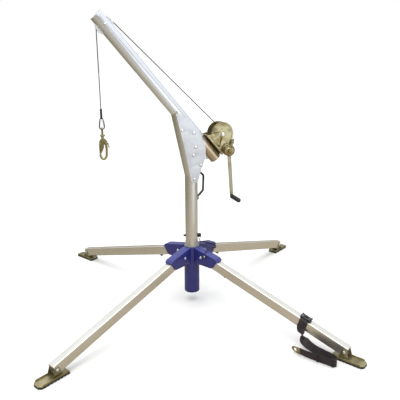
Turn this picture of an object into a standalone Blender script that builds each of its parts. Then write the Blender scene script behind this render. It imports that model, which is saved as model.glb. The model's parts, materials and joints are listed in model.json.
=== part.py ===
"""Portable rescue davit: a swivelling mast and boom with a hand winch on a four-legged folding base.

Metres, +Z up. The origin is on the mast's axis at floor level, and the boom points along -X.
"""

import math

import bmesh
import bpy
import numpy as np
from mathutils import Matrix, Vector

# Fits
GAP = 0.0003
RUNNING = 0.0007

# Mast, a round tube that leans forward above its bend
MAST_R = 0.0381
MAST_WALL = 0.004
MAST_FOOT_Z = 0.0786
MAST_BEND_Z = 0.823
MAST_LEAN = math.radians(12.3)

# Boom, a straight round tube that crosses the mast's axis at BOOM_CROSS_Z
BOOM_R = 0.035
BOOM_WALL = 0.004
BOOM_ANGLE = math.radians(50.0)
BOOM_CROSS_Z = 1.0984
BOOM_TIP = 0.800
BOOM_TAIL = -0.244

# Hub: a socket tube with four inverted channels for the legs
HUB_R = 0.0475
HUB_WALL = 0.004
HUB_BOTTOM = 0.066
HUB_TOP = 0.372
HUB_FLOOR = 0.006
DRAIN_R = 0.012
BUSH_LENGTH = 0.040
BUSH_FLANGE = 0.004
CHANNEL_WALL = 0.004
CHANNEL_TOP_Z = 0.3712
CHANNEL_SHOULDER = (0.203, 0.337)
CHANNEL_TIP = (0.218, 0.3225)
CHANNEL_TOE = (0.187, 0.276)
CHANNEL_BOTTOM_Z = 0.268
CHANNEL_HEEL_R = 0.053

# Legs: rectangular tubes on pivot bolts
LEG_COUNT = 4
LEG_FIRST_AZIMUTH = math.radians(28.5)
LEG_PIVOT_R = 0.093
LEG_PIVOT_Z = 0.319
LEG_WIDTH = 0.044
LEG_HEIGHT = 0.057
LEG_WALL = 0.003
LEG_HEEL = 0.020
LEG_END = 0.012
PIVOT_BOLT_R = 0.005
BUMPER_AT = 0.185
BUMPER_R = 0.011
BUMPER_HEIGHT = 0.0145

# Feet
FOOT_PIVOT_R = 1.041
FOOT_PIVOT_Z = 0.052
FOOT_BOLT_R = 0.005
SHOE_WIDTH = 0.066
SHOE_HEEL = 0.066
SHOE_TOE = 0.108
SHOE_STEEL = 0.003
SHOE_LIP = 0.011
EAR_REACH = 0.030
PAD_HEIGHT = 0.010
TREADS = 9
TREAD_DEPTH = 0.004

# Side plates that tie the mast and the boom together, as (reach, height) in the boom's plane
PLATE = 0.005
PLATE_OUTLINE = (
    (0.1065, 1.1930, 0.006), (0.0700, 1.0500, 0.3), (0.0340, 0.8800, 0.3), (0.0150, 0.7800, 0.016),
    (-0.0240, 0.7810, 0.016), (-0.0460, 0.8550, 0.08), (-0.0770, 0.9330, 0.05), (-0.0770, 0.9900, 0.08),
    (-0.0510, 1.0560, 0.08), (0.0066, 1.1290, 0.2), (0.0520, 1.1730, 0.05), (0.0760, 1.1930, 0.02),
)
MAST_BOLTS = ((0.0674, 1.0967), (-0.0018, 0.9462), (-0.0062, 0.8027))
BOOM_BOLTS = ((-0.0045, 1.0783),)
SPACED_BOLTS = ((-0.0158, 0.9935), (-0.0463, 0.8844))
PLATE_BOLT_R = 0.005
SPACER_R = 0.009
NUT_SPACE = 0.011

# Rope and head sheave; places along the boom are measured from its crossing with the mast's axis
ROPE_R = 0.0025
SHEAVE_AT = 0.736
SHEAVE_PITCH_R = 0.0425
SHEAVE_RIM_R = 0.048
SHEAVE_WIDTH = 0.014
SHEAVE_AXLE_R = 0.006
SLOT_WIDTH = 0.019
KEEPER_AT = 0.787
KEEPER_R = 0.003

# Winch on the boom's tail
WINCH_FROM = -0.242
WINCH_TO = -0.078
WINCH_STEEL = 0.005
SIDE_STEEL = 0.003
WINCH_REAR_Y = -0.040
WINCH_FRONT_Y = 0.0445
DRUM_AT = (-0.150, 0.1165)
DRUM_CORE_R = 0.0217
DRUM_FLANGE_R = 0.070
DRUM_HALF = 0.0305
FLANGE = 0.0035
DRUM_AXLE_R = 0.008
GEAR_MODULE = 0.0033
GEAR_TEETH = 42
PINION_TEETH = 17
GEAR_WIDTH = 0.007
PINION_DIRECTION = math.radians(203.0)
SHAFT_R = 0.008
RATCHET_R = 0.030
RATCHET_TEETH = 12
RATCHET_WIDTH = 0.006
DISC_R = 0.034
PAWL_AT = (-0.2214, 0.1299)
CRANK_LENGTH = 0.285
CRANK_WIDTH = 0.020
CRANK_STEEL = 0.006
CRANK_LEAN = math.radians(4.5)
CAP = 0.011
GRIP_LENGTH = 0.098
GRIP_R = 0.0135
WINCH_BOLTS = (-0.205, -0.105)
WINCH_BOLT_R = 0.005
DRUM_HUB_R = 0.014

# Carry handle behind the mast
HANDLE_R = 0.0065
HANDLE_TOP_Z = 0.842
HANDLE_BOTTOM_Z = 0.690
HANDLE_REACH = 0.079

# Mast pin with its lanyard
PIN_Z = 0.4366
PIN_AZIMUTH = math.radians(-20.0)
PIN_R = 0.0065
PIN_HEAD_R = 0.0125
PIN_HEAD_LENGTH = 0.020
PIN_EYE_R = 0.0062
PIN_EYE_WIRE = 0.0016
LANYARD_R = 0.0022
LOOP_CENTRE = (0.090, -0.045)
LOOP_REACH = (0.050, 0.036)
LOOP_TURNED = math.radians(-21.0)
LOOP_STEPS = 19
LOOP_Z = 0.3818
LOOP_FALL = 0.25
LOOP_RISE = 0.0053
CLIP_AT = 0.128
CLIP_BELOW = 0.017
# The lanyard's way over the channel's edge to the clip, as (distance from the clip, height above the clip)
CLIP_LINE = ((0.030, 0.0243), (0.018, 0.0227), (0.009, 0.0218), (0.0045, 0.0204), (0.0014, 0.0172),
             (0.0001, 0.0135), (0.0, 0.0098))

# Hook under the rope's fall
SLEEVE_TOP_Z = 1.236
SLEEVE_BOTTOM_Z = 1.180
SLEEVE_R = 0.0062
THIMBLE_HALF = 0.0105
THIMBLE_R = 0.0020
THIMBLE_BITE = 0.0006
BAIL_R = 0.0032
BAIL_HALF = 0.0115
BAIL_TOP_Z = 1.134
NECK_TOP_Z = 1.092
HOOK_TURN = math.radians(-14.0)
HOOK_R = 0.0065
STEM_R = 0.0042
HOOK_LINE = (
    (0.004, -0.020), (0.0150, -0.040), (0.0185, -0.064), (0.0185, -0.088), (0.0165, -0.108),
    (0.0090, -0.1225), (0.0, -0.1270), (-0.0090, -0.1225), (-0.0155, -0.110), (-0.0165, -0.097),
)
HOOK_HEAD = (
    (-0.021, -0.031, 0.005), (-0.012, -0.016, 0.008), (0.010, -0.012, 0.008),
    (0.025, -0.030, 0.008), (0.021, -0.047, 0.006), (-0.011, -0.046, 0.006),
)
GATE_HINGE = (-0.0155, -0.0385)
GATE_OUTLINE = (
    (-0.005, 0.0045, 0.004), (0.005, 0.0045, 0.004), (0.0035, -0.030, 0.003),
    (0.0030, -0.0505, 0.001), (-0.0045, -0.0505, 0.001), (-0.0050, -0.025, 0.02),
)
CHEEK_OUTLINE = (
    (-0.0055, 0.0060, 0.004), (0.0075, 0.0070, 0.005), (0.0200, -0.0040, 0.005), (0.0215, -0.0200, 0.006),
    (0.0160, -0.0360, 0.006), (0.0040, -0.0480, 0.003), (-0.0040, -0.0480, 0.001), (-0.0055, -0.0250, 0.02),
)
CHEEK = 0.0015
CHEEK_INNER_Y = 0.0072
CHEEK_WEB = ((-0.0055, -0.0470), (-0.0015, -0.0130))
LOCK_HINGE = (0.0230, -0.0360)
LOCK_OUTLINE = (
    (-0.0042, 0.0040, 0.003), (0.0042, 0.0040, 0.003), (0.0105, -0.016, 0.006), (0.0110, -0.030, 0.002),
    (0.0070, -0.030, 0.002), (0.0040, -0.012, 0.006), (-0.0042, -0.0042, 0.003),
)
LEVER_STEEL = 0.0050
RIVET_R = 0.0016

# Strap on the last leg
WEB_WIDTH = 0.048
WEB = 0.0025
STRAP_AT = 0.797
# The strap's free end, as (reach along the leg's azimuth, sideways, height, direction of its width)
STRAP_LINE = (
    (0.800, -0.033, 0.080, (0.90, -0.35, -0.10)), (0.806, -0.038, 0.064, (0.64, -0.74, -0.15)),
    (0.822, -0.044, 0.048, (0.30, -0.75, -0.55)), (0.850, -0.050, 0.036, (0.12, -0.45, -0.88)),
    (0.895, -0.057, 0.0275, (0.0, -0.20, -1.0)),
    (0.950, -0.064, 0.0262, (0.0, -0.12, -1.0)), (1.000, -0.070, 0.0262, (0.0, -0.10, -1.0)),
    (1.024, -0.078, 0.0262, (0.0, -0.05, -1.0)), (1.033, -0.092, 0.0262, (0.02, 0.0, -1.0)),
    (1.024, -0.106, 0.0262, (0.0, 0.05, -1.0)), (0.998, -0.112, 0.0262, (0.0, 0.10, -1.0)),
    (0.945, -0.117, 0.0262, (0.0, 0.15, -1.0)), (0.890, -0.121, 0.0258, (0.0, 0.22, -1.0)),
    (0.842, -0.119, 0.0254, (0.0, 0.28, -1.0)),
)

# Values that follow from the ones above
PLATE_FACE = MAST_R + GAP
HANDLE_SCREWS = (HANDLE_TOP_Z + 0.018, HANDLE_BOTTOM_Z - 0.018)
DRUM_ROPE_R = DRUM_CORE_R + GAP + ROPE_R
SHAFT_AT = (DRUM_AT[0] + (GEAR_TEETH + PINION_TEETH) * GEAR_MODULE / 2 * math.cos(PINION_DIRECTION),
            DRUM_AT[1] + (GEAR_TEETH + PINION_TEETH) * GEAR_MODULE / 2 * math.sin(PINION_DIRECTION))
WINCH_BASE = BOOM_R + GAP
GEAR_Y = DRUM_HALF + FLANGE - 0.0002
FRONT_FACE = WINCH_FRONT_Y + SIDE_STEEL
INNER_DISC_Y = FRONT_FACE + 0.0010
RATCHET_Y = INNER_DISC_Y + 0.004 + GAP
OUTER_DISC_Y = RATCHET_Y + RATCHET_WIDTH + GAP
ARM_Y = OUTER_DISC_Y + 0.007
CAP_Y = ARM_Y + CRANK_STEEL - 0.0002


def clear_scene():
    for thing in list(bpy.data.objects):
        bpy.data.objects.remove(thing, do_unlink=True)


def new_collection(name):
    group = bpy.data.collections.new(name)
    bpy.context.scene.collection.children.link(group)
    return group


clear_scene()
PARTS = new_collection("rescue_davit")
CUTTERS = new_collection("cutters")


def material(name, colour, roughness, metallic):
    made = bpy.data.materials.new(name)
    made.use_nodes = True
    shader = made.node_tree.nodes["Principled BSDF"]
    shader.inputs["Base Color"].default_value = (*colour, 1.0)
    shader.inputs["Roughness"].default_value = roughness
    shader.inputs["Metallic"].default_value = metallic
    return made


ALUMINIUM = material("mill_aluminium", (0.58, 0.55, 0.48), 0.35, 1.0)
PLATE_ALUMINIUM = material("plate_aluminium", (0.64, 0.66, 0.68), 0.42, 1.0)
BLUE = material("blue_powder_coat", (0.035, 0.035, 0.20), 0.35, 0.0)
GOLD_ZINC = material("gold_zinc_plate", (0.50, 0.42, 0.20), 0.32, 1.0)
OLIVE_ZINC = material("olive_zinc_plate", (0.22, 0.19, 0.10), 0.42, 1.0)
BRIGHT_STEEL = material("bright_steel", (0.70, 0.70, 0.70), 0.25, 1.0)
BLACK_RUBBER = material("black_rubber", (0.018, 0.018, 0.018), 0.75, 0.0)
BLACK_PLASTIC = material("black_plastic", (0.012, 0.012, 0.014), 0.45, 0.0)
WHITE_NYLON = material("natural_nylon", (0.75, 0.74, 0.70), 0.5, 0.0)
WIRE = material("galvanised_wire", (0.12, 0.12, 0.12), 0.5, 0.8)
WEBBING = material("black_webbing", (0.025, 0.020, 0.018), 0.85, 0.0)


# Frames: each is an empty on a joint's axis, and the pieces under it are modelled in its axes.
def frame(name, place, rotation=None):
    empty = bpy.data.objects.new(name, None)
    PARTS.objects.link(empty)
    turn = (rotation or Matrix.Identity(3)).to_4x4()
    empty.matrix_world = Matrix.Translation(place) @ turn
    return empty


def axes(x, y, z):
    return Matrix((x, y, z)).transposed()


def radial(azimuth):
    return Vector((math.cos(azimuth), math.sin(azimuth), 0.0))


def leg_azimuth(k):
    return LEG_FIRST_AZIMUTH + k * 2 * math.pi / LEG_COUNT


LEG_SLOPE = math.atan2(LEG_PIVOT_Z - FOOT_PIVOT_Z, FOOT_PIVOT_R - LEG_PIVOT_R)
LEG_SPAN = math.hypot(LEG_PIVOT_Z - FOOT_PIVOT_Z, FOOT_PIVOT_R - LEG_PIVOT_R)
BOOM_X = Vector((-math.cos(BOOM_ANGLE), 0.0, math.sin(BOOM_ANGLE)))
BOOM_Z = Vector((math.sin(BOOM_ANGLE), 0.0, math.cos(BOOM_ANGLE)))
BOOM_AXES = axes(BOOM_X, Vector((0.0, -1.0, 0.0)), BOOM_Z)
BOOM_FRAME = frame("boom_frame", (0.0, 0.0, BOOM_CROSS_Z), BOOM_AXES)
BASE_FRAME = frame("base_frame", (0.0, 0.0, 0.0))
MAST_FRAME = frame("mast_frame", (0.0, 0.0, 0.0))
LEAN_Z = Vector((-math.sin(MAST_LEAN), 0.0, math.cos(MAST_LEAN)))


def boom_point(along, side, up):
    return Vector((0.0, 0.0, BOOM_CROSS_Z)) + BOOM_X * along - Vector((0.0, side, 0.0)) + BOOM_Z * up


# Making and combining objects
def link(thing, parent, paint, collection=None):
    (collection or PARTS).objects.link(thing)
    thing.parent = parent
    if paint is not None:
        thing.data.materials.clear()
        thing.data.materials.append(paint)
    return thing


def smooth(mesh, angle=35.0):
    mesh.shade_smooth()
    mesh.set_sharp_from_angle(angle=math.radians(angle))


def from_bmesh(name, bm, parent, paint):
    bmesh.ops.recalc_face_normals(bm, faces=bm.faces)
    mesh = bpy.data.meshes.new(name)
    bm.to_mesh(mesh)
    bm.free()
    smooth(mesh)
    return link(bpy.data.objects.new(name, mesh), parent, paint)


def box(name, low, high, parent, paint=None):
    bm = bmesh.new()
    low, high = Vector(low), Vector(high)
    place = Matrix.Translation((low + high) / 2) @ Matrix.Diagonal((*(high - low), 1.0))
    bmesh.ops.create_cube(bm, size=1.0, matrix=place)
    return from_bmesh(name, bm, parent, paint)


TO_Y = Matrix.Rotation(-math.pi / 2, 4, "X")
TO_X = Matrix.Rotation(math.pi / 2, 4, "Y")


def cylinder(name, radius, start, end, parent, paint=None, sides=32):
    """A round bar from one point to another."""
    bm = bmesh.new()
    start, end = Vector(start), Vector(end)
    turn = (end - start).to_track_quat("Z", "Y").to_matrix().to_4x4()
    place = Matrix.Translation((start + end) / 2) @ turn
    bmesh.ops.create_cone(bm, cap_ends=True, segments=sides, radius1=radius, radius2=radius,
                          depth=(end - start).length, matrix=place)
    return from_bmesh(name, bm, parent, paint)


def turned(name, profile, parent, paint, place=None, sides=32, closed=False):
    """A profile of (radius, height) points, from the top down its outer side, turned about Z."""
    points = [(r, 0.0, z) for r, z in profile]
    edges = [(i, i + 1) for i in range(len(points) - 1)]
    if closed:
        edges.append((len(points) - 1, 0))
    mesh = bpy.data.meshes.new(name)
    mesh.from_pydata(points, edges, [])
    made = link(bpy.data.objects.new(name, mesh), parent, paint)
    screw = made.modifiers.new("turn", "SCREW")
    screw.steps = screw.render_steps = sides
    screw.use_merge_vertices = True
    screw.merge_threshold = 0.00005
    screw.use_smooth_shade = False
    if place is not None:
        made.matrix_local = place
    return made


def ring(name, outer, inner, low, high, parent, paint, place=None, sides=32):
    """A tube or washer between two heights."""
    profile = [(outer, high), (outer, low), (inner, low), (inner, high)]
    return turned(name, profile, parent, paint, place, sides, closed=True)


def rounded(corners, facet=0.35):
    """The outline of a polygon of (x, y, radius) corners, with each corner rounded by an arc."""
    outline = []
    count = len(corners)
    for i, (x, y, radius) in enumerate(corners):
        corner = Vector((x, y))
        before = Vector(corners[i - 1][:2]) - corner
        after = Vector(corners[(i + 1) % count][:2]) - corner
        half = before.angle(after) / 2
        if radius <= 0.0 or half > math.radians(89.5):
            outline.append(corner)
            continue
        setback = min(radius / math.tan(half), 0.48 * before.length, 0.48 * after.length)
        fillet = setback * math.tan(half)
        centre = corner + (before.normalized() + after.normalized()).normalized() * (fillet / math.sin(half))
        start = corner + before.normalized() * setback - centre
        sweep = start.angle_signed(corner + after.normalized() * setback - centre)
        steps = max(1, math.ceil(abs(sweep) / facet))
        outline += [centre + Matrix.Rotation(-sweep * j / steps, 2) @ start for j in range(steps + 1)]
    return outline


def circle(centre, radius, sides=12):
    return [Vector((centre[0] + radius * math.cos(2 * math.pi * i / sides),
                    centre[1] + radius * math.sin(2 * math.pi * i / sides))) for i in range(sides)]


def flat(name, outlines, thickness, parent, paint, place):
    """A flat plate from closed outlines; the outlines inside the first one are holes."""
    data = bpy.data.curves.new(name, "CURVE")
    data.dimensions = "2D"
    data.fill_mode = "BOTH"
    data.extrude = thickness / 2
    for outline in outlines:
        spline = data.splines.new("POLY")
        spline.points.add(len(outline) - 1)
        for point, (x, y) in zip(spline.points, outline):
            point.co = (x, y, 0.0, 1.0)
        spline.use_cyclic_u = True
    made = link(bpy.data.objects.new(name, data), parent, paint)
    made.matrix_local = place
    return as_mesh(made)


def as_mesh(thing):
    """The object again as a mesh, with its caps welded."""
    bpy.context.view_layer.update()
    ready = thing.evaluated_get(bpy.context.evaluated_depsgraph_get())
    mesh = bpy.data.meshes.new_from_object(ready)
    paint = next(iter(thing.data.materials), None)
    bm = bmesh.new()
    bm.from_mesh(mesh)
    bmesh.ops.remove_doubles(bm, verts=bm.verts, dist=0.00001)
    bmesh.ops.recalc_face_normals(bm, faces=bm.faces)
    bm.to_mesh(mesh)
    bm.free()
    smooth(mesh)
    name, parent, place = thing.name, thing.parent, thing.matrix_local.copy()
    bpy.data.objects.remove(thing, do_unlink=True)
    made = link(bpy.data.objects.new(name, mesh), parent, paint)
    made.matrix_local = place
    return made


def rod(name, points, radius, parent, paint, resolution=2, closed=False):
    """A round rod or cord along a list of points."""
    data = bpy.data.curves.new(name, "CURVE")
    data.dimensions = "3D"
    data.bevel_depth = radius
    data.bevel_resolution = resolution
    data.use_fill_caps = True
    spline = data.splines.new("POLY")
    spline.points.add(len(points) - 1)
    for point, place in zip(spline.points, points):
        point.co = (*place, 1.0)
    spline.use_cyclic_u = closed
    return link(bpy.data.objects.new(name, data), parent, paint)


def bent(points, radius, facet=0.35):
    """A path of straight runs whose inner corners are arcs."""
    points = [Vector(p) for p in points]
    path = [points[0]]
    for before, corner, after in zip(points, points[1:], points[2:]):
        back, on = (before - corner).normalized(), (after - corner).normalized()
        half = back.angle(on) / 2
        reach = radius / math.tan(half)
        centre = corner + (back + on).normalized() * (radius / math.sin(half))
        start, end = corner + back * reach - centre, corner + on * reach - centre
        axis = start.cross(end)
        steps = max(1, math.ceil((math.pi - 2 * half) / facet))
        sweep = start.angle(end)
        path += [centre + Matrix.Rotation(sweep * j / steps, 3, axis) @ start for j in range(steps + 1)]
    return [*path, points[-1]]


def through(points, count):
    """A smooth line of count points through a few given points (Catmull-Rom)."""
    p = np.array([tuple(q) for q in points], dtype=float)
    p = np.vstack([2 * p[0] - p[1], p, 2 * p[-1] - p[-2]])
    spans = len(p) - 3
    t = np.linspace(0.0, spans, count)
    i = np.minimum(t.astype(int), spans - 1)
    f = (t - i)[:, None]
    a, b, c, d = p[i], p[i + 1], p[i + 2], p[i + 3]
    return 0.5 * (2 * b + (c - a) * f + (2 * a - 5 * b + 4 * c - d) * f**2 + (3 * b - a - 3 * c + d) * f**3)


def helper(thing):
    """Takes a tool body out of the finished object."""
    for group in list(thing.users_collection):
        group.objects.unlink(thing)
    CUTTERS.objects.link(thing)
    thing.hide_render = True
    thing.display_type = "WIRE"
    return thing


def boolean(target, tool, operation):
    step = target.modifiers.new(operation.lower(), "BOOLEAN")
    step.object = helper(as_mesh(tool) if tool.type == "CURVE" else tool)
    step.operation = operation
    step.solver = "EXACT"
    return target


def cut(target, *tools):
    for tool in tools:
        boolean(target, tool, "DIFFERENCE")
    return target


def weld(target, *tools):
    for tool in tools:
        boolean(target, tool, "UNION")
    return target


def bolt(name, radius, grip, head_r, head_h, place, parent, paint, nut=True, collar=None):
    """A domed bolt along Z: head above z = 0, nut below -grip; a collar is (radius, end gap)."""
    dome = [(head_r * math.sin(a), head_h * math.cos(a)) for a in np.linspace(0.0, math.pi / 2, 4)]
    dome[0] = (0.0, head_h)
    tail = grip + (NUT_SPACE if nut else 0.0)
    middle = []
    if collar is not None:
        wide, inset = collar
        middle = [(radius, -inset), (wide, -inset), (wide, inset - grip), (radius, inset - grip)]
    profile = [*dome, (radius, 0.0), *middle, (radius, -tail), (0.0, -tail)]
    made = turned(name, profile, parent, paint, place, sides=12)
    if nut:
        bm = bmesh.new()
        low = Matrix.Translation((0.0, 0.0, -grip - 0.0045))
        bmesh.ops.create_cone(bm, cap_ends=True, segments=6, radius1=radius * 1.9, radius2=radius * 1.9,
                              depth=0.008, matrix=low)
        hexagon = from_bmesh("nut", bm, parent, None)
        hexagon.matrix_local = place
        weld(made, hexagon)
    return made


def facing(place, direction):
    """A place whose Z axis points along a direction."""
    return Matrix.Translation(place) @ Vector(direction).to_track_quat("Z", "Y").to_matrix().to_4x4()


# Base
def leg_top_z(r):
    return LEG_PIVOT_Z - (r - LEG_PIVOT_R) * math.tan(LEG_SLOPE) + LEG_HEIGHT / 2 / math.cos(LEG_SLOPE)


def channel_outline():
    return rounded([
        (0.0, CHANNEL_TOP_Z, 0.0), (HUB_R, CHANNEL_TOP_Z, 0.0), (*CHANNEL_SHOULDER, 0.012), (*CHANNEL_TIP,
                                                                                             0.003),
        (*CHANNEL_TOE, 0.012), (CHANNEL_TOE[0] - 0.018, CHANNEL_BOTTOM_Z, 0.02), (0.0, CHANNEL_BOTTOM_Z,
                                                                                  0.0),
    ])


def slot_outline():
    """The space in a channel: under its top plate and lip, and clear of the leg."""
    wall = CHANNEL_WALL
    lip = CHANNEL_TIP[0] - 0.0055
    beyond = CHANNEL_TIP[0] + 0.02
    floor = CHANNEL_BOTTOM_Z - 0.02
    return [Vector(p) for p in (
        (CHANNEL_HEEL_R, floor), (CHANNEL_HEEL_R, CHANNEL_TOP_Z - wall - 0.001),
        (CHANNEL_SHOULDER[0] - 0.0015, CHANNEL_SHOULDER[1] - wall), (lip, CHANNEL_TIP[1] - 0.0005),
        (lip, leg_top_z(lip) + GAP), (beyond, leg_top_z(beyond) + GAP), (beyond, floor),
    )]


def upright(azimuth):
    """Places a flat drawn in (radius, height) on the vertical plane at this azimuth."""
    out = radial(azimuth)
    return axes(out, Vector((0.0, 0.0, 1.0)), out.cross(Vector((0.0, 0.0, 1.0)))).to_4x4()


def make_hub():
    hub = cylinder("hub", HUB_R, (0, 0, HUB_BOTTOM), (0, 0, HUB_TOP), BASE_FRAME, BLUE, sides=32)
    inside = LEG_WIDTH + 2 * RUNNING
    for k in range(LEG_COUNT):
        outer = flat("channel", [channel_outline()], inside + 2 * CHANNEL_WALL, BASE_FRAME, None,
                     upright(leg_azimuth(k)))
        weld(hub, outer)
    for k in range(LEG_COUNT):
        out, side = radial(leg_azimuth(k)), radial(leg_azimuth(k) + math.pi / 2)
        slot = flat("slot", [slot_outline()], inside, BASE_FRAME, None, upright(leg_azimuth(k)))
        pivot = out * LEG_PIVOT_R + Vector((0, 0, LEG_PIVOT_Z))
        hole = cylinder("hole", PIVOT_BOLT_R + GAP, pivot - side * 0.04, pivot + side * 0.04, BASE_FRAME,
                        sides=12)
        cut(hub, slot, hole)
    bore = cylinder("bore", HUB_R - HUB_WALL, (0, 0, HUB_BOTTOM + HUB_FLOOR), (0, 0, HUB_TOP + 0.1),
                    BASE_FRAME, sides=32)
    drain = cylinder("drain", DRAIN_R, (0, 0, 0), (0, 0, HUB_TOP), BASE_FRAME, sides=20)
    cut(hub, bore, drain)


def make_bushes():
    inner, outer = MAST_R + GAP, HUB_R - HUB_WALL - GAP
    seat = HUB_BOTTOM + HUB_FLOOR + GAP
    foot = [(outer, seat + BUSH_LENGTH), (outer, seat), (inner - 0.010, seat),
            (inner - 0.010, MAST_FOOT_Z - GAP),
            (inner, MAST_FOOT_Z - GAP), (inner, seat + BUSH_LENGTH)]
    turned("lower_bush", foot, BASE_FRAME, WHITE_NYLON, sides=32, closed=True)
    top = HUB_TOP + GAP
    head = [(HUB_R - 0.0005, top + BUSH_FLANGE), (HUB_R - 0.0005, top), (outer, top),
            (outer, top - BUSH_LENGTH),
            (inner, top - BUSH_LENGTH), (inner, top + BUSH_FLANGE)]
    turned("upper_bush", head, BASE_FRAME, WHITE_NYLON, sides=32, closed=True)


def make_leg_bolts():
    half = LEG_WIDTH / 2 + RUNNING + CHANNEL_WALL + GAP
    for k in range(LEG_COUNT):
        toward = radial(leg_azimuth(k) + math.pi / 2) * (1 if k in (1, 2) else -1)
        head = radial(leg_azimuth(k)) * LEG_PIVOT_R + toward * half + Vector((0, 0, LEG_PIVOT_Z))
        bolt(f"leg_pivot_bolt_{k + 1}", PIVOT_BOLT_R, 2 * half, 0.009, 0.005, facing(head, toward),
             BASE_FRAME, BRIGHT_STEEL)


# Legs, in axes that run outward along the leg
def leg_frame(k):
    out, side = radial(leg_azimuth(k)), radial(leg_azimuth(k) + math.pi / 2)
    along = out * math.cos(LEG_SLOPE) - Vector((0, 0, math.sin(LEG_SLOPE)))
    return frame(f"leg_frame_{k + 1}", out * LEG_PIVOT_R + Vector((0, 0, LEG_PIVOT_Z)),
                 axes(along, side, along.cross(side)))


def make_leg(k):
    parent = leg_frame(k)
    w, h, t = LEG_WIDTH / 2, LEG_HEIGHT / 2, LEG_WALL
    end = LEG_SPAN + LEG_END
    section = [rounded([(-w, -h, 0.004), (w, -h, 0.004), (w, h, 0.004), (-w, h, 0.004)], 0.8),
               rounded([(-w + t, -h + t, 0.0), (w - t, -h + t, 0.0), (w - t, h - t, 0.0),
                        (-w + t, h - t, 0.0)])]
    place = Matrix.Translation(((end - LEG_HEEL) / 2, 0, 0)) @ axes(Vector((0, 1, 0)), Vector((0, 0, 1)),
                                                                    Vector((1, 0, 0))).to_4x4()
    tube = flat(f"leg_tube_{k + 1}", [section[0], section[1]], end + LEG_HEEL, parent, ALUMINIUM, place)
    holes = [cylinder("hole", r + GAP, (x, -0.04, 0), (x, 0.04, 0), parent, sides=12)
             for r, x in ((PIVOT_BOLT_R, 0.0), (FOOT_BOLT_R, LEG_SPAN))]
    cut(tube, *holes)
    under = -h - GAP
    dome = [(0.0, under), (BUMPER_R, under), (BUMPER_R, under - 0.6 * BUMPER_HEIGHT),
            (0.75 * BUMPER_R, under - 0.9 * BUMPER_HEIGHT), (0.4 * BUMPER_R, under - BUMPER_HEIGHT),
            (0.0, under - BUMPER_HEIGHT)]
    turned(f"leg_bumper_{k + 1}", dome, parent, BLACK_RUBBER, Matrix.Translation((BUMPER_AT, 0, 0)),
           sides=20)


# Feet, in level axes on the foot's pivot
def foot_frame(k):
    out, side = radial(leg_azimuth(k)), radial(leg_azimuth(k) + math.pi / 2)
    return frame(f"foot_frame_{k + 1}", out * FOOT_PIVOT_R + Vector((0, 0, FOOT_PIVOT_Z)),
                 axes(out, side, Vector((0, 0, 1))))


def ear_inner():
    return LEG_WIDTH / 2 + RUNNING


def make_foot(k):
    parent = foot_frame(k)
    floor = PAD_HEIGHT + GAP - FOOT_PIVOT_Z
    half = SHOE_WIDTH / 2
    chamfer = 0.014
    base = rounded([(-SHOE_HEEL, -half, 0.004), (SHOE_TOE - chamfer, -half, 0.004),
                    (SHOE_TOE, -half + chamfer, 0.004),
                    (SHOE_TOE, half - chamfer, 0.004), (SHOE_TOE - chamfer, half, 0.004),
                    (-SHOE_HEEL, half, 0.004)], 0.8)
    shoe = flat(f"foot_shoe_{k + 1}", [base], SHOE_STEEL, parent, OLIVE_ZINC,
                Matrix.Translation((0, 0, floor + SHOE_STEEL / 2)))
    for s in (-1, 1):
        outer, inner = s * half, s * (half - SHOE_STEEL)
        weld(shoe, box("lip", (-SHOE_HEEL + 0.006, min(outer, inner), floor + 0.0005),
                       (SHOE_TOE - chamfer - 0.002, max(outer, inner), floor + SHOE_LIP), parent))
        ear = rounded([(-EAR_REACH, floor + 0.0005, 0.0), (EAR_REACH, floor + 0.0005, 0.0),
                       (0.013, 0.006, 0.010),
                       (0.004, 0.0145, 0.012), (-0.010, 0.0145, 0.012), (-0.014, 0.004, 0.010)])
        y = s * (ear_inner() + SHOE_STEEL / 2)
        weld(shoe, flat("ear", [ear], SHOE_STEEL, parent, None,
                        Matrix.Translation((0, y, 0)) @ axes(Vector((1, 0, 0)), Vector((0, 0, 1)),
                                                             Vector((0, -1, 0))).to_4x4()))
    make_pad(k, parent, base)
    grip = 2 * (ear_inner() + SHOE_STEEL) - 0.0002
    toward = 1 if k in (1, 2) else -1
    weld(shoe, bolt("foot_bolt", FOOT_BOLT_R, grip, 0.0085, 0.0045,
                    facing((0, toward * grip / 2, 0), (0, toward, 0)), parent, None))


def make_pad(k, parent, outline):
    low = -FOOT_PIVOT_Z
    pad = flat(f"foot_pad_{k + 1}", [outline], PAD_HEIGHT, parent, BLACK_RUBBER,
               Matrix.Translation((0, 0, low + PAD_HEIGHT / 2)))
    pitch = (SHOE_TOE + SHOE_HEEL) / TREADS
    for i in range(1, TREADS):
        x = -SHOE_HEEL + i * pitch
        cut(pad, box("tread", (x - 0.2 * pitch, -SHOE_WIDTH, low - 0.01),
                     (x + 0.2 * pitch, SHOE_WIDTH, low + TREAD_DEPTH), parent))


# Mast, boom and side plates
def lean_point(along):
    return Vector((0, 0, MAST_BEND_Z)) + LEAN_Z * along


def mast_line(radius, name, paint, start, end):
    return rod(name, [(0, 0, start), (0, 0, MAST_BEND_Z), tuple(lean_point(end))], radius, MAST_FRAME,
               paint, resolution=8)


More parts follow.
